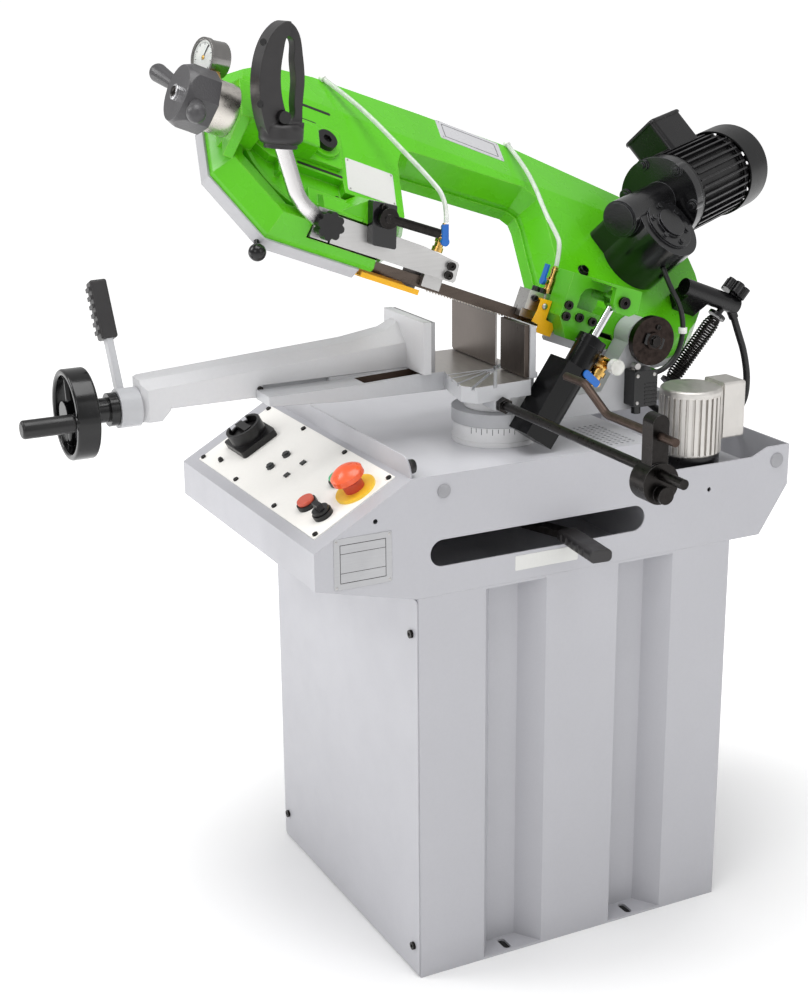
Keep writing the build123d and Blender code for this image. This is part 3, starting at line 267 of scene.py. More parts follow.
paint("green_enamel", lin(88, 188, 16), rough=0.27, var=0.06, grain=420.0, grain_h=0.0005, wear_and_highlight_col=lin(156, 222, 88), bevel=0.0024, coat=0.16, cloud=7.0, spec=0.36)
paint("green_bracket", lin(82, 174, 24), rough=0.30, var=0.07, grain=380.0, grain_h=0.0007, wear_and_highlight_col=lin(150, 216, 100), bevel=0.0018, coat=0.14, spec=0.36)
paint("panel_cream", lin(249, 247, 242), rough=0.45, var=0.012, grain=1200.0, grain_h=0.00008, wear_and_highlight_col=lin(220, 216, 209), bevel=0.0008)
paint("guard_yellow", lin(246, 182, 8), rough=0.36, var=0.05, wear_and_highlight_col=lin(250, 206, 80), bevel=0.0008)
paint("motor_black", lin(15, 14, 16), rough=0.26, var=0.12, grain=500.0, grain_h=0.0004, wear_and_highlight_col=lin(88, 86, 88), bevel=0.0013, spec=0.4)
paint("fan_black", lin(15, 15, 16), rough=0.28, var=0.12, grain=500.0, grain_h=0.0002, wear_and_highlight_col=lin(58, 57, 59), bevel=0.0016, spec=0.3)
paint("gear_black", lin(13, 13, 15), rough=0.20, var=0.14, grain=300.0, grain_h=0.0006, wear_and_highlight_col=lin(84, 84, 90), bevel=0.0018, spec=0.45, coat=0.35)
paint("gloss_black", lin(9, 9, 10), rough=0.16, var=0.10, grain=300.0, grain_h=0.00015, wear_and_highlight_col=lin(58, 57, 59), bevel=0.0016, coat=0.2, spec=0.35)
paint("textured_black", lin(64, 63, 65), rough=0.34, var=0.14, grain=420.0, grain_h=0.0012, wear_and_highlight_col=lin(120, 118, 120), bevel=0.0022)
paint("plate_white", lin(214, 214, 211), rough=0.34, var=0.012, grain=1200.0, grain_h=0.00006, wear_and_highlight_col=lin(206, 205, 202), bevel=0.0005)
paint("plate_satin", lin(192, 192, 195), rough=0.28, var=0.02, grain=1200.0, grain_h=0.00006, wear_and_highlight_col=lin(214, 214, 216), bevel=0.0005, coat=0.2)
paint("recess_brown", lin(66, 50, 40), rough=0.62, var=0.3, grain=240.0, grain_h=0.0009, cloud=30.0, wear_and_highlight_col=lin(120, 104, 92))
plastic("black_plastic", lin(17, 16, 17), rough=0.32, spec=0.45)
plastic("grip_rubber", lin(34, 32, 33), rough=0.40, var=0.14, bevel=0.0025, grain=900.0, grain_h=0.0003)
plastic("dark_lens", lin(40, 43, 43), rough=0.22)
plastic("estop_red", lin(236, 92, 44), rough=0.30, coat=0.3)
plastic("collar_red", lin(198, 70, 44), rough=0.40)
plastic("disc_yellow", lin(246, 202, 54), rough=0.42)
plastic("start_green", lin(70, 182, 128), rough=0.32, coat=0.3)
plastic("stop_red", lin(206, 84, 60), rough=0.32, coat=0.3)
plastic("lever_blue", lin(14, 98, 184), rough=0.36)
plastic("cable_black", lin(24, 24, 25), rough=0.36, var=0.16, grain=500.0, spec=0.4)
plastic("white_nylon", lin(228, 228, 224), rough=0.4)
plastic("plug_grey", lin(150, 150, 154), rough=0.45)
plastic("dial_white", lin(240, 240, 236), rough=0.45, var=0.02)
plastic("dial_black", lin(20, 20, 20), rough=0.5)
metal("steel_ground", lin(190, 188, 186), rough=0.32, stretch=(1, 0.04, 1), scale=420.0)
metal("steel_beam", lin(196, 195, 194), rough=0.40, var=0.06, stretch=(1, 0.05, 1), scale=380.0)
metal("steel_dark", lin(92, 88, 86), rough=0.36, var=0.2)
metal("jaw_steel", lin(108, 101, 96), rough=0.34, var=0.10, stretch=(1, 1, 0.12), scale=520.0, bump=0.00005, wear_and_highlight_col=lin(176, 172, 168))
metal("jaw_dark", lin(82, 74, 69), rough=0.32, var=0.16, stretch=(1, 1, 0.12), scale=420.0, bump=0.00005, wear_and_highlight_col=lin(166, 160, 154))
metal("jaw_bright", lin(162, 162, 164), rough=0.36, var=0.06, stretch=(1, 1, 0.12), scale=520.0, bump=0.00004, wear_and_highlight_col=lin(214, 214, 214))
metal("blade_steel", lin(88, 79, 73), rough=0.28, var=0.16, stretch=(1, 0.05, 0.6), scale=420.0, bump=0.00005, wear_and_highlight_col=lin(176, 166, 156))
metal("tooth_steel", lin(176, 168, 160), rough=0.26, var=0.14)
metal("chrome", lin(222, 222, 224), rough=0.10, var=0.05, scale=60.0, bump=0.00003)
metal("tube_aluminium", lin(212, 210, 210), rough=0.24, var=0.04, scale=70.0, bump=0.00003)
metal("cup_aluminium", lin(204, 199, 192), rough=0.28, var=0.06, scale=120.0, bump=0.00005)
metal("brass", lin(228, 190, 112), rough=0.20, var=0.10, dark=lin(182, 138, 70), wear_and_highlight_col=lin(242, 216, 156))
metal("black_oxide", lin(46, 44, 43), rough=0.30, var=0.18, wear_and_highlight_col=lin(120, 118, 118))
metal("brown_phosphate", lin(78, 66, 60), rough=0.42, var=0.2, wear_and_highlight_col=lin(140, 126, 120))
metal("pump_aluminium", lin(214, 211, 207), rough=0.52, var=0.05, scale=140.0, bump=0.0001)
metal("screw_zinc", lin(176, 174, 172), rough=0.30)
metal("plate_silver", lin(168, 168, 170), rough=0.32, var=0.05, stretch=(1, 0.05, 1), scale=500.0, bump=0.00003)
metal("table_machined", lin(204, 199, 195), rough=0.36, var=0.10, stretch=(0.08, 1, 1), scale=420.0, bump=0.00006, wear_and_highlight_col=lin(208, 206, 202))
metal("cam_steel", lin(54, 46, 43), rough=0.30, var=0.2, dark=lin(34, 29, 27))
metal("gauge_steel", lin(150, 148, 146), rough=0.20, var=0.06, scale=80.0, bump=0.00003)
metal("cast_iron", lin(120, 118, 116), rough=0.5, var=0.15, bump=0.0004)

for nm, lo, hi, tw in (("clear_hose", lin(228, 232, 226), lin(248, 250, 246), 0.50), ("clear_knob", lin(222, 222, 216), lin(246, 246, 242), 0.35), ("gauge_glass", lin(248, 250, 250), lin(254, 255, 255), 1.0)):
    k = Mat(nm)
    k.link(k.ramp(k.noise(90.0, 2.0), [(0.3, lo), (0.7, hi)]), k.b.inputs["Base Color"])
    k.link(k.rng(k.noise(120.0, 2.0), 0.3, 0.7, 0.05, 0.16), k.b.inputs["Roughness"])
    k.set(Transmission_Weight=tw, IOR=1.08 if tw == 1.0 else 1.42)
    MATS[nm] = k.m


def home(p):
    """rest point in metres to level-bow point in mm"""
    dy, dz = p.y - PIV_Y, p.z - PIV_Z
    return p.x * 1000, (PIV_Y + dy * CA - dz * SA) * 1000, (PIV_Z + dy * SA + dz * CA) * 1000


def assign(node, default, *rules):
    """materials of one CAD node; a rule is (material, test(centre, normal)) and the first that holds wins"""
    me = NODE[node].data
    me.materials.clear()
    slots = {}
    for n in [default] + [q[0] for q in rules]:
        if n not in slots:
            slots[n] = len(slots)
            me.materials.append(MATS[n])
    for p in me.polygons:
        pick = default
        for mt, test in rules:
            if test(p.center, p.normal):
                pick = mt
                break
        p.material_index = slots[pick]


def dist_axis(p, a, d):
    v = p - a
    return (v - d * v.dot(d)).length


# ------------------------------------------------------------------ CAD nodes
VX, VY, VZ = Vector((1, 0, 0)), Vector((0, 1, 0)), Vector((0, 0, 1))
for nm in ("cabinet_shell", "cabinet_front_panel"):
    assign(nm, "grey_powder_coat")
# faces pointing up get the lighter painted-light copy of the grey
assign("tray_housing", "grey_powder_coat", ("grey_tray_top_painted_lighter", lambda c, n: n.z > 0.9 and c.z > 0.77))
assign("control_panel", "panel_cream")
assign("panel_screws", "black_oxide")
ES_C = pan(181, 111)


def es_r(c):
    return dist_axis(c, ES_C, PN)


assign("panel_fittings", "black_plastic",
       ("collar_red", lambda c, n: es_r(c) < 0.0152),
       ("disc_yellow", lambda c, n: es_r(c) < 0.0302),
       ("dark_lens", lambda c, n: abs(c.x + 0.0377) < 0.0075 or abs(c.x - 0.0155) < 0.0075))
assign("main_switch_knob", "black_plastic")
assign("estop_button", "estop_red")
assign("start_button", "start_green")
assign("stop_button", "stop_red")
assign("selector_knob", "black_plastic")
assign("turntable_base", "turntable_paint")
assign("lock_lever", "steel_dark", ("grip_rubber", lambda c, n: c.x > 0.2456))
assign("vise_bed", "grey_cast_paint",
       ("recess_brown", lambda c, n: 0.0555 < c.x < 0.0905 and -0.2645 < c.y < -0.1675 and c.z < 0.8725 and c.z > 0.8575 and (n.z > 0.5 or abs(n.z) < 0.3)),
       ("table_machined", lambda c, n: n.z > 0.9 and c.z > 0.8755 and c.y > -0.165))
assign("fixed_jaw", "grey_cast_paint")
assign("fixed_jaw_plates", "jaw_steel", ("jaw_dark", lambda c, n: c.x > 0.1235))
assign("vise_ram", "light_cast_paint", ("jaw_bright", lambda c, n: c.y > -0.1662))
assign("vise_handwheel", "gloss_black", ("steel_dark", lambda c, n: dist_axis(c, Vector((0.025, 0, 0.863)), VY) < 0.0085 and c.y > -0.6))
assign("crank_handle", "black_plastic")
QL_Z = Vector((-0.393, -0.032, 0.919)).normalized()
assign("quick_lever", "grey_cast_paint", ("grip_rubber", lambda c, n: (c - Vector((0.025, -0.597, 0.863))).dot(QL_Z) > 0.0955))
assign("coolant_pump", "pump_aluminium", ("motor_black", lambda c, n: c.z < 0.7335))
assign("stop_rod", "black_oxide")
assign("stop_clamp", "black_oxide")
assign("stop_finger", "brown_phosphate")
assign("swivel_head", "grey_cast_paint", ("motor_black", lambda c, n: c.y > 0.205 and c.x < 0.135))
assign("feed_cylinder", "cylinder_black", ("brass", lambda c, n: (c - cyl(0, 0, 0)).dot(CY_) > 0.0205))
assign("feed_valve_knob", "clear_knob")
assign("feed_rod", "chrome")
assign("limit_switch", "gloss_black", ("screw_zinc", lambda c, n: c.z > 0.8665))


def on_bracket_bolt(c):
    x, y, z = home(c)
    return x > 178.1 and any(math.hypot(y - a, z - b) < 6.9 for a, b in ((0.5, 918), (2, 902), (24.5, 906), (48, 906)))


assign("bow_casting", "green_enamel", ("black_oxide", lambda c, n: on_bracket_bolt(c)),
       ("green_bracket", lambda c, n: c.x > 0.1355 and c.y > 0.0 and c.z < 1.03))
BALL = bw(-612, -36, -6)


def in_throat(c, n):
    v = c - bw(0, 0, 0)
    return abs(n.dot(BN)) < 0.3 and -0.446 < v.dot(BU) < -0.124 and 0.0 < v.dot(BS) < 0.2


assign("wheel_cover", "lid_paint", ("gloss_black", lambda c, n: (c - BALL).length < 0.018), ("green_enamel", in_throat))
lid_me = NODE["wheel_cover"].data
for q in lid_me.polygons:
    if q.normal.dot(BN) > 0.5:
        pts = [lid_me.vertices[i].co - bw(0, 0, 0) for i in q.vertices]
        if all(-0.446 < v.dot(BU) < -0.124 and 0.0 < v.dot(BS) < 0.2 for v in pts):
            q.material_index = 2
assign("saw_blade", "blade_steel")
assign("idler_wheel", "cast_iron")
assign("drive_wheel", "cast_iron")
AX_I = bw(-531, 139, 0)
assign("idler_block", "green_enamel", ("black_plastic", lambda c, n: (c - AX_I).dot(BN) > 0.0562 and dist_axis(c, AX_I, BN) < 0.0157))
HUB0 = bw(-706, 124, 62)
GAU_C = bw(-721, 198, 68)
GAU_N = (BU * -0.967 + BS * -0.262 + BN * 0.035).normalized()
assign("tension_gauge", "cup_aluminium",
       ("gauge_steel", lambda c, n: dist_axis(c, GAU_C, GAU_N) < 0.0268 and -0.0305 < (c - GAU_C).dot(GAU_N) < 0.0006),
       ("brass", lambda c, n: dist_axis(c, HUB0, BU) > 0.0352))
assign("tension_hub", "textured_black", ("steel_dark", lambda c, n: (c - bw(0, 124, 62)).dot(BU) > -0.7132),
       ("chrome", lambda c, n: dist_axis(c, HUB0, BU) < 0.0106 and (c - bw(0, 124, 62)).dot(BU) < -0.7579))
assign("gearbox", "gear_black")
assign("drive_motor", "motor_black")
assign("motor_fan_cover", "fan_black")
assign("rotor_shaft", "steel_dark")
assign("guide_beam", "steel_beam", ("black_oxide", lambda c, n: c.x > 0.1442))
assign("blade_guard_front", "guard_yellow", ("steel_dark", lambda c, n: home(c)[2] > 877))
assign("blade_guard_rear", "guard_yellow")
assign("front_tap", "brass")
assign("rear_tap", "brass")
assign("front_tap_lever", "lever_blue")
assign("rear_tap_lever", "lever_blue")
assign("guide_clamp", "gear_black")
assign("clamp_lever", "black_oxide")
COL0 = hm(150, -479, 990)
COLZ = (hm(150, -479 - 0.28 * 1000, 990 + 960) - COL0).normalized()
assign("operator_handle", "tube_aluminium", ("grip_rubber", lambda c, n: (c - COL0).dot(COLZ) > 0.0005 and (c - COL0).length < 0.2),
       ("black_plastic", lambda c, n: c.x > 0.1545 and (c - hm(163, -386, 916)).length < 0.027),
       ("steel_beam", lambda c, n: (c - hm(138, -386, 915)).length < 0.036 and c.x < 0.1482))
assign("handle_trigger", "black_plastic")
assign("rear_guide", "steel_ground")
assign("spring_arm", "motor_black")


def on_pin(c):
    x, y, z = home(c)
    return math.hypot(y - 55, z - 945) < 9


assign("pivot_shaft", "cam_steel", ("black_oxide", lambda c, n: on_pin(c) and c.x > 0.2285), ("chrome", lambda c, n: on_pin(c)))
for nm in ("hose_front", "hose_rear"):
    assign(nm, "clear_hose")
for nm in ("motor_cable", "switch_cable"):
    assign(nm, "cable_black")
assign("return_spring", "black_oxide")

# ------------------------------------------------------------------ pieces drawn on top of the frame


def axes(ax, ref=None):
    ax = ax.normalized()
    t = ref if ref is not None else (VZ if abs(ax.z) < 0.9 else VX)
    x = (t - ax * t.dot(ax)).normalized()
    return x, ax.cross(x), ax


class Piece:
    def __init__(self, name, body, *mats):
        self.name, self.body, self.mats = name, body, mats
        self.v, self.f, self.mi = [], [], []

    def loft(self, loops, m=0, caps=True):
        b, n = len(self.v), len(loops[0])
        for lp in loops:
            self.v += [tuple(p) for p in lp]
        for i in range(len(loops) - 1):
            for j in range(n):
                a, c = b + i * n + j, b + i * n + (j + 1) % n
                self.f.append((a, c, c + n, a + n))
                self.mi.append(m)
        if caps:
            self.f.append(tuple(b + j for j in reversed(range(n))))
            e = b + (len(loops) - 1) * n
            self.f.append(tuple(e + j for j in range(n)))
            self.mi += [m, m]
        return self

    def turn(self, o, ax, prof, seg=24, m=0, ref=None):
        """rings (radius, height) in mm along an axis; a third value makes the ring a hexagon"""
        x, y, z = axes(ax, ref)
        loops = []
        for e in prof:
            lp = []
            for j in range(seg):
                a = 2 * math.pi * j / seg
                q = e[0] / 1000
                if len(e) == 3:
                    q *= math.cos(math.pi / 6) / math.cos(a % (math.pi / 3) - math.pi / 6)
                lp.append(o + x * (q * math.cos(a)) + y * (q * math.sin(a)) + z * (e[1] / 1000))
            loops.append(lp)
        return self.loft(loops, m)

    def socket(self, o, ax, q, h, m=0):
        return self.turn(o, ax, [(q, -0.4), (q, h - 0.7), (q - 0.7, h), (q * 0.66, h), (q * 0.56, h - 0.1, 1), (q * 0.56, h * 0.4, 1)], 24, m)

    def hexbolt(self, o, ax, q, h, m=0):
        return self.turn(o, ax, [(q * 1.25, -0.3), (q * 1.25, 0.9), (q, 0.9, 1), (q, h - 0.6, 1), (q * 0.86, h), (q * 0.3, h)], 24, m)

    def dome(self, o, ax, q, h, m=0, seg=20):
        return self.turn(o, ax, [(q, -0.3), (q, h * 0.3), (q * 0.92, h * 0.62), (q * 0.68, h * 0.88), (q * 0.25, h)], seg, m)

    def plate(self, o, x, y, w, h, t, cr=2.0, ch=0.25, m=0, sink=0.2):
        z = x.cross(y)

        def lp(ins, zz):
            pts = []
            for sx, sy, a0 in ((1, 1, 0), (-1, 1, 90), (-1, -1, 180), (1, -1, 270)):
                for i in range(5):
                    a = math.radians(a0 + 22.5 * i)
                    q = max(cr - ins, 0.05)
                    px, py = sx * (w / 2 - cr) + q * math.cos(a), sy * (h / 2 - cr) + q * math.sin(a)
                    pts.append(o + x * (px / 1000) + y * (py / 1000) + z * (zz / 1000))
            return pts
        return self.loft([lp(0, -sink), lp(0, t - ch), lp(ch, t)], m)

    def sweep(self, pts, q, seg=12, m=0):
        n, loops = len(pts), []
        t0 = (pts[1] - pts[0]).normalized()
        x = axes(t0)[0]
        for i, p in enumerate(pts):
            t = (pts[min(i + 1, n - 1)] - pts[max(i - 1, 0)]).normalized()
            x = t0.rotation_difference(t) @ x
            x = (x - t * x.dot(t)).normalized()
            y, t0 = t.cross(x), t
            loops.append([p + (x * math.cos(2 * math.pi * j / seg) + y * math.sin(2 * math.pi * j / seg)) * (q / 1000) for j in range(seg)])
        return self.loft(loops, m)

    def done(self, slot=None, ride=True, angle=35):
        me = bpy.data.meshes.new(self.name)
        me.from_pydata(self.v, [], self.f)
        for n in self.mats:
            me.materials.append(MATS[n])
        me.polygons.foreach_set("material_index", self.mi)
        bm = bmesh.new()
        bm.from_mesh(me)
        bmesh.ops.recalc_face_normals(bm, faces=bm.faces)
        bm.to_mesh(me)
        bm.free()
        me.polygons.foreach_set("use_smooth", [True] * len(me.polygons))
        me.set_sharp_from_angle(angle=math.radians(angle))
        me.update()
        ob = bpy.data.objects.new(self.name, me)
        COLL.objects.link(ob)
        if ride:
            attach(ob, self.body)
        return ob


# plates
p = Piece("casting_plate", "bow", "plate_white", "screw_zinc")
p.plate(bw(-453, 108, 44), BU, BS, 78, 58, 0.7, 2.5)
for du in (-35.5, 35.5):
    for ds in (-25.5, 25.5):
        p.dome(bw(-453 + du, 108 + ds, 44.6), BN, 1.7, 0.8, 1)
p.done("panel_plate")
FN = (BN * 118 + BS * 24).normalized()
FS = FN.cross(BU).normalized()
fo = bw(-254, 276, 44 - (276 - 222) * 24 / 118)
p = Piece("facet_plate", "bow", "plate_satin", "screw_zinc", "dial_black")
p.plate(fo, BU, FS, 115, 44, 0.7, 2.0)
for sg in (-1, 1):
    p.plate(fo + FS * (sg * 0.0150) + FN * 0.0006, BU, FS, 97, 1.2, 0.2, 0.5, 0.05, 2, 0.1)
    p.plate(fo + BU * (sg * 0.0480) + FN * 0.0006, BU, FS, 1.2, 31, 0.2, 0.5, 0.05, 2, 0.1)
for du in (-53, 53):
    for ds in (-18, 18):
        p.dome(fo + BU * (du / 1000) + FS * (ds / 1000) + FN * 0.0006, FN, 1.6, 0.8, 1)
p.done("zinc")
p = Piece("tray_plates", "base", "plate_silver", "plate_white", "screw_zinc", "dial_black")
rp = Vector((0.25, -0.3465, 0.6705))
p.plate(rp, VY, VZ, 87, 73, 0.7, 2.5)
for sg in (-1, 1):
    p.plate(rp + VZ * (sg * 0.0270) + VX * 0.0006, VY, VZ, 69, 0.9, 0.2, 0.4, 0.05, 3, 0.1)
    p.plate(rp + VY * (sg * 0.0340) + VX * 0.0006, VY, VZ, 0.9, 54.5, 0.2, 0.4, 0.05, 3, 0.1)
p.plate(rp + VZ * 0.0145 + VX * 0.0006, VY, VZ, 69, 0.7, 0.2, 0.3, 0.05, 3, 0.1)
p.plate(rp - VZ * 0.0130 + VX * 0.0006, VY, VZ, 69, 0.7, 0.2, 0.3, 0.05, 3, 0.1)
for dy in (-39.5, 39.5):
    for dz in (-32.5, 32.5):
        p.dome(Vector((0.2506, -0.3465 + dy / 1000, 0.6705 + dz / 1000)), VX, 1.7, 0.8, 2)
p.plate(Vector((0.25, -0.057, 0.626)), VY, VZ, 104, 22, 0.5, 1.5, m=1)
p.done("zinc")

# black sheets laid on the casting face as painted shade of the slide slots, and small screws round them
p = Piece("casting_details", "bow", "dial_black", "black_oxide")
for u0, u1, s0 in ((-571, -499, 97.5), (-562, -509, 208), (-563, -534, 180)):
    p.plate(bw((u0 + u1) / 2, s0, 44), BU, BS, u1 - u0, 4.5, 0.35, 2.2, 0.1)
for u0, s0, h0 in ((-504.5, 66.0, 31), (-489, 66.0, 31)):
    p.socket(bw(u0, s0, h0), BN, 4.2, 4.0, 1)
p.hexbolt(bw(-85, 82, 44), BN, 7.5, 6.0, 1)
p.socket(hm(144.3, -321, 952), HX, 4.5, 4.5, 1)
p.done("black_paint")

# gauge face
p = Piece("gauge_dial", "bow", "dial_white", "dial_black", "brass")
gx, gy, gz = axes(GAU_N)
g0 = GAU_C - GAU_N * 0.0031
p.turn(g0, GAU_N, [(23.1, -0.2), (23.1, 0.5), (22.7, 0.6)], 48)
for i in range(41):
    a = math.radians(225 - 270 * i / 40)
    d_ = gx * math.sin(a) + gy * math.cos(a)
    t_ = GAU_N.cross(d_)
    ln = 4.2 if i % 5 == 0 else 2.2
    p.plate(g0 + d_ * ((20.6 - ln / 2) / 1000) + GAU_N * 0.0006, d_, t_, ln, 0.9 if i % 5 == 0 else 0.45, 0.12, 0.15, 0.03, 1, 0.05)
a = math.radians(120)
d_ = gx * math.sin(a) + gy * math.cos(a)
p.plate(g0 + d_ * 0.0075 + GAU_N * 0.0011, d_, GAU_N.cross(d_), 23, 1.5, 0.3, 0.6, 0.08, 1, 0.1)
p.turn(g0 + GAU_N * 0.0006, GAU_N, [(2.9, 0), (2.9, 0.9), (2.0, 1.3)], 20, 2)
p.done("panel_plate")
p = Piece("gauge_glass", "bow", "gauge_glass")
p.turn(GAU_C, GAU_N, [(23.2, -0.75), (23.2, -0.25), (19.0, 0.15), (10.0, 0.4), (2.0, 0.45)], 48)
p.done("hose_clear")

# hub screw with its ring
p = Piece("hub_screw", "tension_hub_body", "chrome", "black_oxide")
p.turn(bw(-760.9, 124, 62), BU * -1, [(10.5, -0.3), (10.5, 0.5), (9.6, 1.2), (7.6, 1.2)], 32)
p.dome(bw(-761.2, 124, 62), BU * -1, 7.4, 4.2, 1)
p.done("chrome")

# blade teeth, alternately set
p = Piece("blade_teeth", "bow", "tooth_steel")
y_, i = -193.0, 0
while y_ < 5.0:
    st = (0.0, 0.28, -0.28)[i % 3]
    loops = []
    for x_, tip in ((117.87, 117.87 + st), (118.77, 118.77 + st)):
        loops.append([hm(x_, y_, 875.6), hm(x_, y_ + 4.5, 875.6), hm(tip, y_ + 4.3, 873.2), hm(tip, y_ + 3.3, 873.3)])
    p.loft(loops)
    y_ += 5.0
    i += 1
p.done("blade_steel", angle=20)

# thread on the vise screw
p = Piece("screw_thread", "vise_handwheel_body", "steel_dark")
pts = []
for i in range(24 * 18 + 1):
    a = 2 * math.pi * i / 18
    pts.append(Vector((0.025 + 0.0078 * math.cos(a), -0.533 + 0.005 * i / 18, 0.863 + 0.0078 * math.sin(a))))
p.sweep(pts, 0.95, 6)
p.done("black_paint", angle=60)

# plugs, caps and screws on the base
p = Piece("base_details", "base", "plug_grey", "black_plastic", "black_oxide", "dial_black")
for y_, z_, q in ((-0.223, 0.7506, 10.0), (0.346, 0.714, 11.5)):
    p.turn(Vector((0.2502, y_, z_)), VX, [(q - 2.2, -3.2), (q - 2.2, -0.3), (q, -0.2), (q, 1.0), (q - 1.2, 2.2), (q * 0.35, 2.6)], 28)
p.turn(Vector((0.238, -0.2694, 0.7885)), VY, [(10, -0.2), (10, 5.5), (9, 7.0), (4, 7.2)], 28, 1)
for k_ in range(-6, 7):
    a = math.radians(-18 + 7.5 * k_)
    d_ = Vector((math.cos(a), math.sin(a), 0))
    ln = 9.0 if k_ % 2 == 0 else 6.0
    p.plate(Vector((0.118, -0.0675, 0.8018 - ln / 2000)) + d_ * 0.06195, d_.cross(VZ) * -1, VZ, 0.8, ln, 0.22, 0.3, 0.05, 3, 0.15)
p.done("black_plastic")
p = Piece("ram_screw", "vise_ram_body", "black_oxide")
p.socket(Vector((0.0499, -0.406, 0.8715)), VX, 4.4, 3.2)
p.done("black_paint")

# guide and guard screws, adjusters on the rear guide
p = Piece("bow_screws", "bow", "black_oxide", "black_plastic", "screw_zinc")
p.socket(hm(160, -316, 962), HX, 4.6, 4.6)
p.socket(hm(139, -30, 912), HX, 4.6, 4.6)
for y_, z_ in ((-30, 922), (-19, 922)):
    p.turn(hm(133, y_, z_), HZ, [(5.2, -0.4), (5.2, 6.0), (4.4, 7.4), (1.5, 7.6)], 24, 1)
p.dome(hm(151.7, -17.5, 905.4), HX, 4.6, 2.6, 2)
for y_, z_ in ((-551, 1105), (-530, 1032)):
    p.turn(hm(165.9, y_, z_), HX, [(4.6, -0.8), (4.6, 0.5), (3.8, 0.9), (3.4, 0.3), (1.2, 0.25)], 20, 1)
p.done("black_paint")

# switch face, cam block, feed valve lever
p = Piece("switch_details", "swivel", "black_plastic", "screw_zinc")
for k_ in range(6):
    p.plate(Vector((0.199, 0.1475, 0.8165 + 0.0058 * k_)), VY, VZ, 21, 2.6, 0.9, 0.8, 0.2)
for y_, z_ in ((0.1245, 0.8588), (0.1535, 0.8588), (0.1245, 0.8185)):
    p.dome(Vector((0.1989, y_, z_)), VX, 3.0, 1.6, 1)
p.done("black_plastic")
p = Piece("cam_details", "bow", "gloss_black", "black_oxide")
p.plate(hm(197, 151, 908), HY, HZ, 34, 17, 3.6, 3.0, 0.6)
p.hexbolt(hm(200.6, 151, 908), HX, 8.0, 6.0, 1)
p.socket(hm(197, 151, 929), HX, 4.0, 3.0, 1)
p.done("ground_steel")
p = Piece("feed_lever", "swivel", "lever_blue", "brass")
l0, l1 = cyl(20, 34, 93), cyl(22, 0, 97.5)
ld = (l1 - l0).normalized()
lx = (VX - ld * VX.dot(ld)).normalized()
p.plate((l0 + l1) / 2, ld, lx.cross(ld), (l1 - l0).length * 1000, 11, 3.0, 4.5, 0.8)
p.sweep([cyl(6, 32, 96), cyl(14, 32, 95), cyl(21.5, 32, 93.6)], 4.4, 18, 1)
p.turn(cyl(6, 32, 93), CE * -1, [(5.4, -1), (5.4, 4), (4.0, 4.5), (4.9, 7), (3.6, 8), (4.9, 10.5), (3.4, 12)], 20, 1)
p.done("lever_blue")

# hose grommets
p = Piece("hose_grommets", "bow", "white_nylon")
H1 = [(-58.78, -249.65, 1279.82), (-19.4, -231.9, 1258), (25.3, -211.2, 1226.6), (66, -191, 1191.5), (103, -170, 1157), (130, -152.5, 1126), (135.0, -157.3, 1094.83)]
H2 = [(-71.15, 59.34, 1169.45), (-22.7, 56.2, 1147.4), (25.4, 50.8, 1118.4), (67.9, 43.4, 1084.3), (100, 41, 1062), (122, 37, 1046), (126.0, 27.17, 1017.38)]
C1 = [(118, 354.8, 907.3), (118, 364, 884), (118, 379, 848), (118, 388, 800), (118, 380, 762), (118, 342, 744), (117, 290, 742), (117, 254, 752), (116, 228, 772), (116, 207, 787.5), (116, 194.5, 799.2)]
C2 = [(128.89, 211.72, 998.18), (149.11, 210.84, 973.79), (150, 230, 944), (150, 238, 910), (151, 231, 875), (152, 208, 852), (153, 182, 846), (153, 157.8, 846)]
for q in (H1, H2):
    o_ = Vector(q[0]) / 1000
    p.turn(o_, (Vector(q[1]) - Vector(q[0])).normalized(), [(4.9, -5.0), (4.9, 0.8), (4.4, 1.5), (3.6, 1.6)], 24)
p.done("black_plastic")


def nurbs(name, pts):
    cd = bpy.data.curves.new(name, "CURVE")
    cd.dimensions = "3D"
    cd.resolution_u = 10
    s_ = cd.splines.new("NURBS")
    s_.points.add(len(pts) - 1)
    for q, c in zip(s_.points, pts):
        q.co = (c[0] / 1000, c[1] / 1000, c[2] / 1000, 1.0)
    s_.order_u = 3
    s_.use_endpoint_u = True
    ob = bpy.data.objects.new(name, cd)
    COLL.objects.link(ob)
    return ob


def line_of(name, pts):
    ob = nurbs(name + "_line", pts)
    me = bpy.data.meshes.new_from_object(ob)
    out = [v.co.copy() for v in me.vertices]
    cd = ob.data
    bpy.data.objects.remove(ob)
    bpy.data.curves.remove(cd)
    bpy.data.meshes.remove(me)
    return out


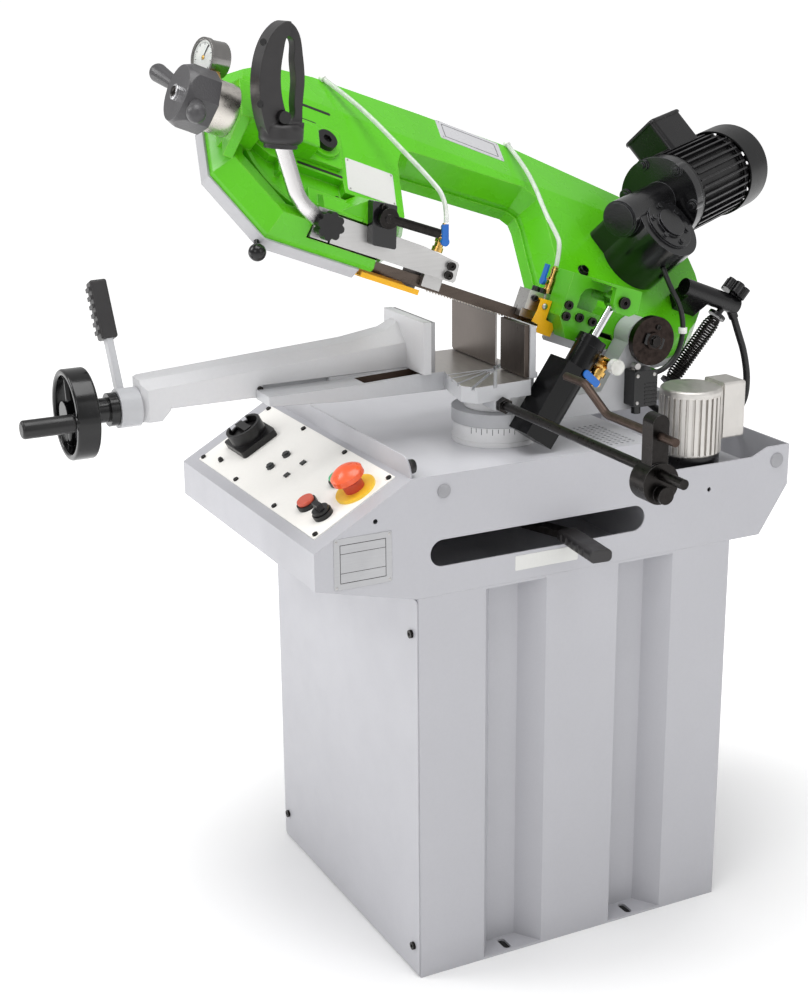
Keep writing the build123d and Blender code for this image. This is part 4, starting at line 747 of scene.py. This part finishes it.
ln = line_of("coolant_hose_rear", H2)
hr = nurbs("coolant_hose_rear", H2)
hr.data.bevel_depth = 0.0034
hr.data.bevel_resolution = 4
hr.data.use_fill_caps = True
hr.data.materials.append(MATS["clear_hose"])
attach(hr, "bow")
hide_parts("hose_rear")
CORD_CLIP = None
for nm, node, pts, q, mt, bodies, slot in (("coolant_hose_front", "hose_front", H1, 3.4, "clear_hose", ("bow", "beam"), "hose_clear"),
                                           ("motor_lead", "motor_cable", C1, 5.5, "cable_black", ("bow", "swivel"), "cable_black"),
                                           ("switch_lead", "switch_cable", C2, 4.0, "cable_black", ("bow", "swivel"), "cable_black")):
    ln = line_of(nm, pts)
    ob = Piece(nm, None, mt).sweep(ln, q, 16).done(slot, ride=False, angle=60)
    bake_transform(ob)
    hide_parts(node)
    if nm == "switch_lead":
        i = min(range(2, len(ln) - 2), key=lambda j: abs(ln[j].z - 0.905))
        cl = Piece("switch_lead_clip", None, "white_nylon")
        cl.turn(ln[i], (ln[i + 1] - ln[i - 1]).normalized(), [(4.1, -4.5), (6.2, -4.5), (6.6, -3.8), (6.6, 3.8), (6.2, 4.5), (4.1, 4.5)], 24)
        cl = cl.done("panel_plate", ride=False)
        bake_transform(cl)

# return spring
S0, S1 = Vector((0.118, 0.227, 0.807)), Vector((0.118, 0.338, 0.932))
sd = (S1 - S0).normalized()
sx_, sy_, _ = axes(sd)
s0 = S0 + sd * 0.0205
pts = []
turns, hgt = 27.5, 0.1195
for i in range(int(turns * 24) + 1):
    a = 2 * math.pi * i / 24
    f_ = i / (turns * 24)
    g_ = min(1.0, max(0.0, (f_ - 0.05) / 0.90))
    z_ = 0.0022 + (hgt - 0.0044) * (0.028 * min(1.0, f_ / 0.05) + 0.944 * g_ + 0.028 * max(0.0, (f_ - 0.95) / 0.05))
    w_ = 0.0078 + 0.0036 * min(1.0, min(f_, 1.0 - f_) / 0.12)
    pts.append(s0 + sx_ * (w_ * math.cos(a)) + sy_ * (w_ * math.sin(a)) + sd * z_)
ob = Piece("counter_spring", None, "black_oxide").sweep(pts, 1.45, 8).done("black_paint", ride=False, angle=60)
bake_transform(ob)
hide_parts("return_spring")

# ------------------------------------------------------------------ stage, light, camera
fl = bpy.data.meshes.new("floor")
N = 96
vs = [(0, 0, 0)] + [(60 * math.cos(2 * math.pi * i / N), 60 * math.sin(2 * math.pi * i / N), 0) for i in range(N)]
fl.from_pydata(vs, [], [(0, 1 + i, 1 + (i + 1) % N) for i in range(N)])
floor = bpy.data.objects.new("floor", fl)
COLL.objects.link(floor)
k = Mat("floor_pale")
pale = k.ramp(k.noise(3.0, 2.0), [(0.3, (0.945, 0.945, 0.945, 1)), (0.7, (0.955, 0.955, 0.955, 1))])
fs = k.node("ShaderNodeSeparateXYZ")
k.link(k.tc.outputs["Object"], fs.inputs["Vector"])
fx, fy = k.node("ShaderNodeMath", operation="ABSOLUTE"), k.node("ShaderNodeMath", operation="ABSOLUTE")
k.link(fs.outputs["X"], fx.inputs[0])
k.link(fs.outputs["Y"], fy.inputs[0])
# painted shadow: the floor under the cabinet footprint is near black, seen through the foot slots
painted_shadow_under_mask = k.mul(k.rng(fx.outputs["Value"], 0.2465, 0.2475, 1.0, 0.0), k.rng(fy.outputs["Value"], 0.252, 0.254, 1.0, 0.0))
k.link(k.mix(painted_shadow_under_mask, pale, (0.02, 0.02, 0.02, 1)), k.b.inputs["Base Color"])
k.link(k.rng(k.noise(8.0, 2.0), 0.3, 0.7, 0.70, 0.76), k.b.inputs["Roughness"])
k.set(Specular_IOR_Level=0.2, Emission_Color=(1.0, 1.0, 1.0, 1.0))
fd = k.node("ShaderNodeVectorMath", operation="LENGTH")
k.link(k.tc.outputs["Object"], fd.inputs[0])
k.link(k.rng(fd.outputs["Value"], 0.34, 1.15, 0.0, 0.52), k.b.inputs["Emission Strength"])
fl.materials.append(k.m)

world = bpy.data.worlds.new("studio")
SC.world = world
world.use_nodes = True
bg = world.node_tree.nodes["Background"]
bg.inputs["Color"].default_value = (1.0, 1.0, 1.0, 1)
bg.inputs["Strength"].default_value = 0.56


def area(name, loc, target, size, power, col=(1, 1, 1)):
    d = bpy.data.lights.new(name, "AREA")
    d.shape = "RECTANGLE"
    d.size, d.size_y = size
    d.energy = power
    d.color = col
    o = bpy.data.objects.new(name, d)
    COLL.objects.link(o)
    o.location = loc
    o.rotation_euler = (Vector(target) - Vector(loc)).to_track_quat("-Z", "Y").to_euler()
    return o


area("key", (-1.3, -3.0, 3.1), (0, 0, 0.85), (1.6, 1.6), 42)
area("front", (2.2, -3.0, 2.6), (0, 0, 0.8), (1.6, 1.6), 14)
area("right", (3.2, 1.2, 2.4), (0, 0, 0.8), (1.4, 2.2), 13)
area("low", (-1.5, -2.4, 0.55), (0.05, -0.3, 1.05), (1.2, 0.9), 7)
area("top", (0.5, -0.3, 3.6), (0.05, 0, 0.8), (2.0, 2.0), 52)

az, el, roll = math.radians(63.193), math.radians(17.717), math.radians(-0.521)
d = Vector((-math.sin(az) * math.cos(el), math.cos(az) * math.cos(el), -math.sin(el)))
r = Vector((math.cos(az), math.sin(az), 0))
u = r.cross(d)
r2 = r * math.cos(roll) + u * math.sin(roll)
u2 = -r * math.sin(roll) + u * math.cos(roll)
cam_data = bpy.data.cameras.new("camera")
cam_data.sensor_width = 36.0
cam_data.lens = 1746.073 * 36.0 / 1000.0
cam = bpy.data.objects.new("camera", cam_data)
COLL.objects.link(cam)
M4 = Matrix((r2, u2, -d)).transposed().to_4x4()
M4.translation = Vector((2.249467, -1.294235, 1.462683))
cam.matrix_world = M4
SC.camera = cam
SC.view_settings.view_transform = "Standard"
SC.view_settings.look = "None"
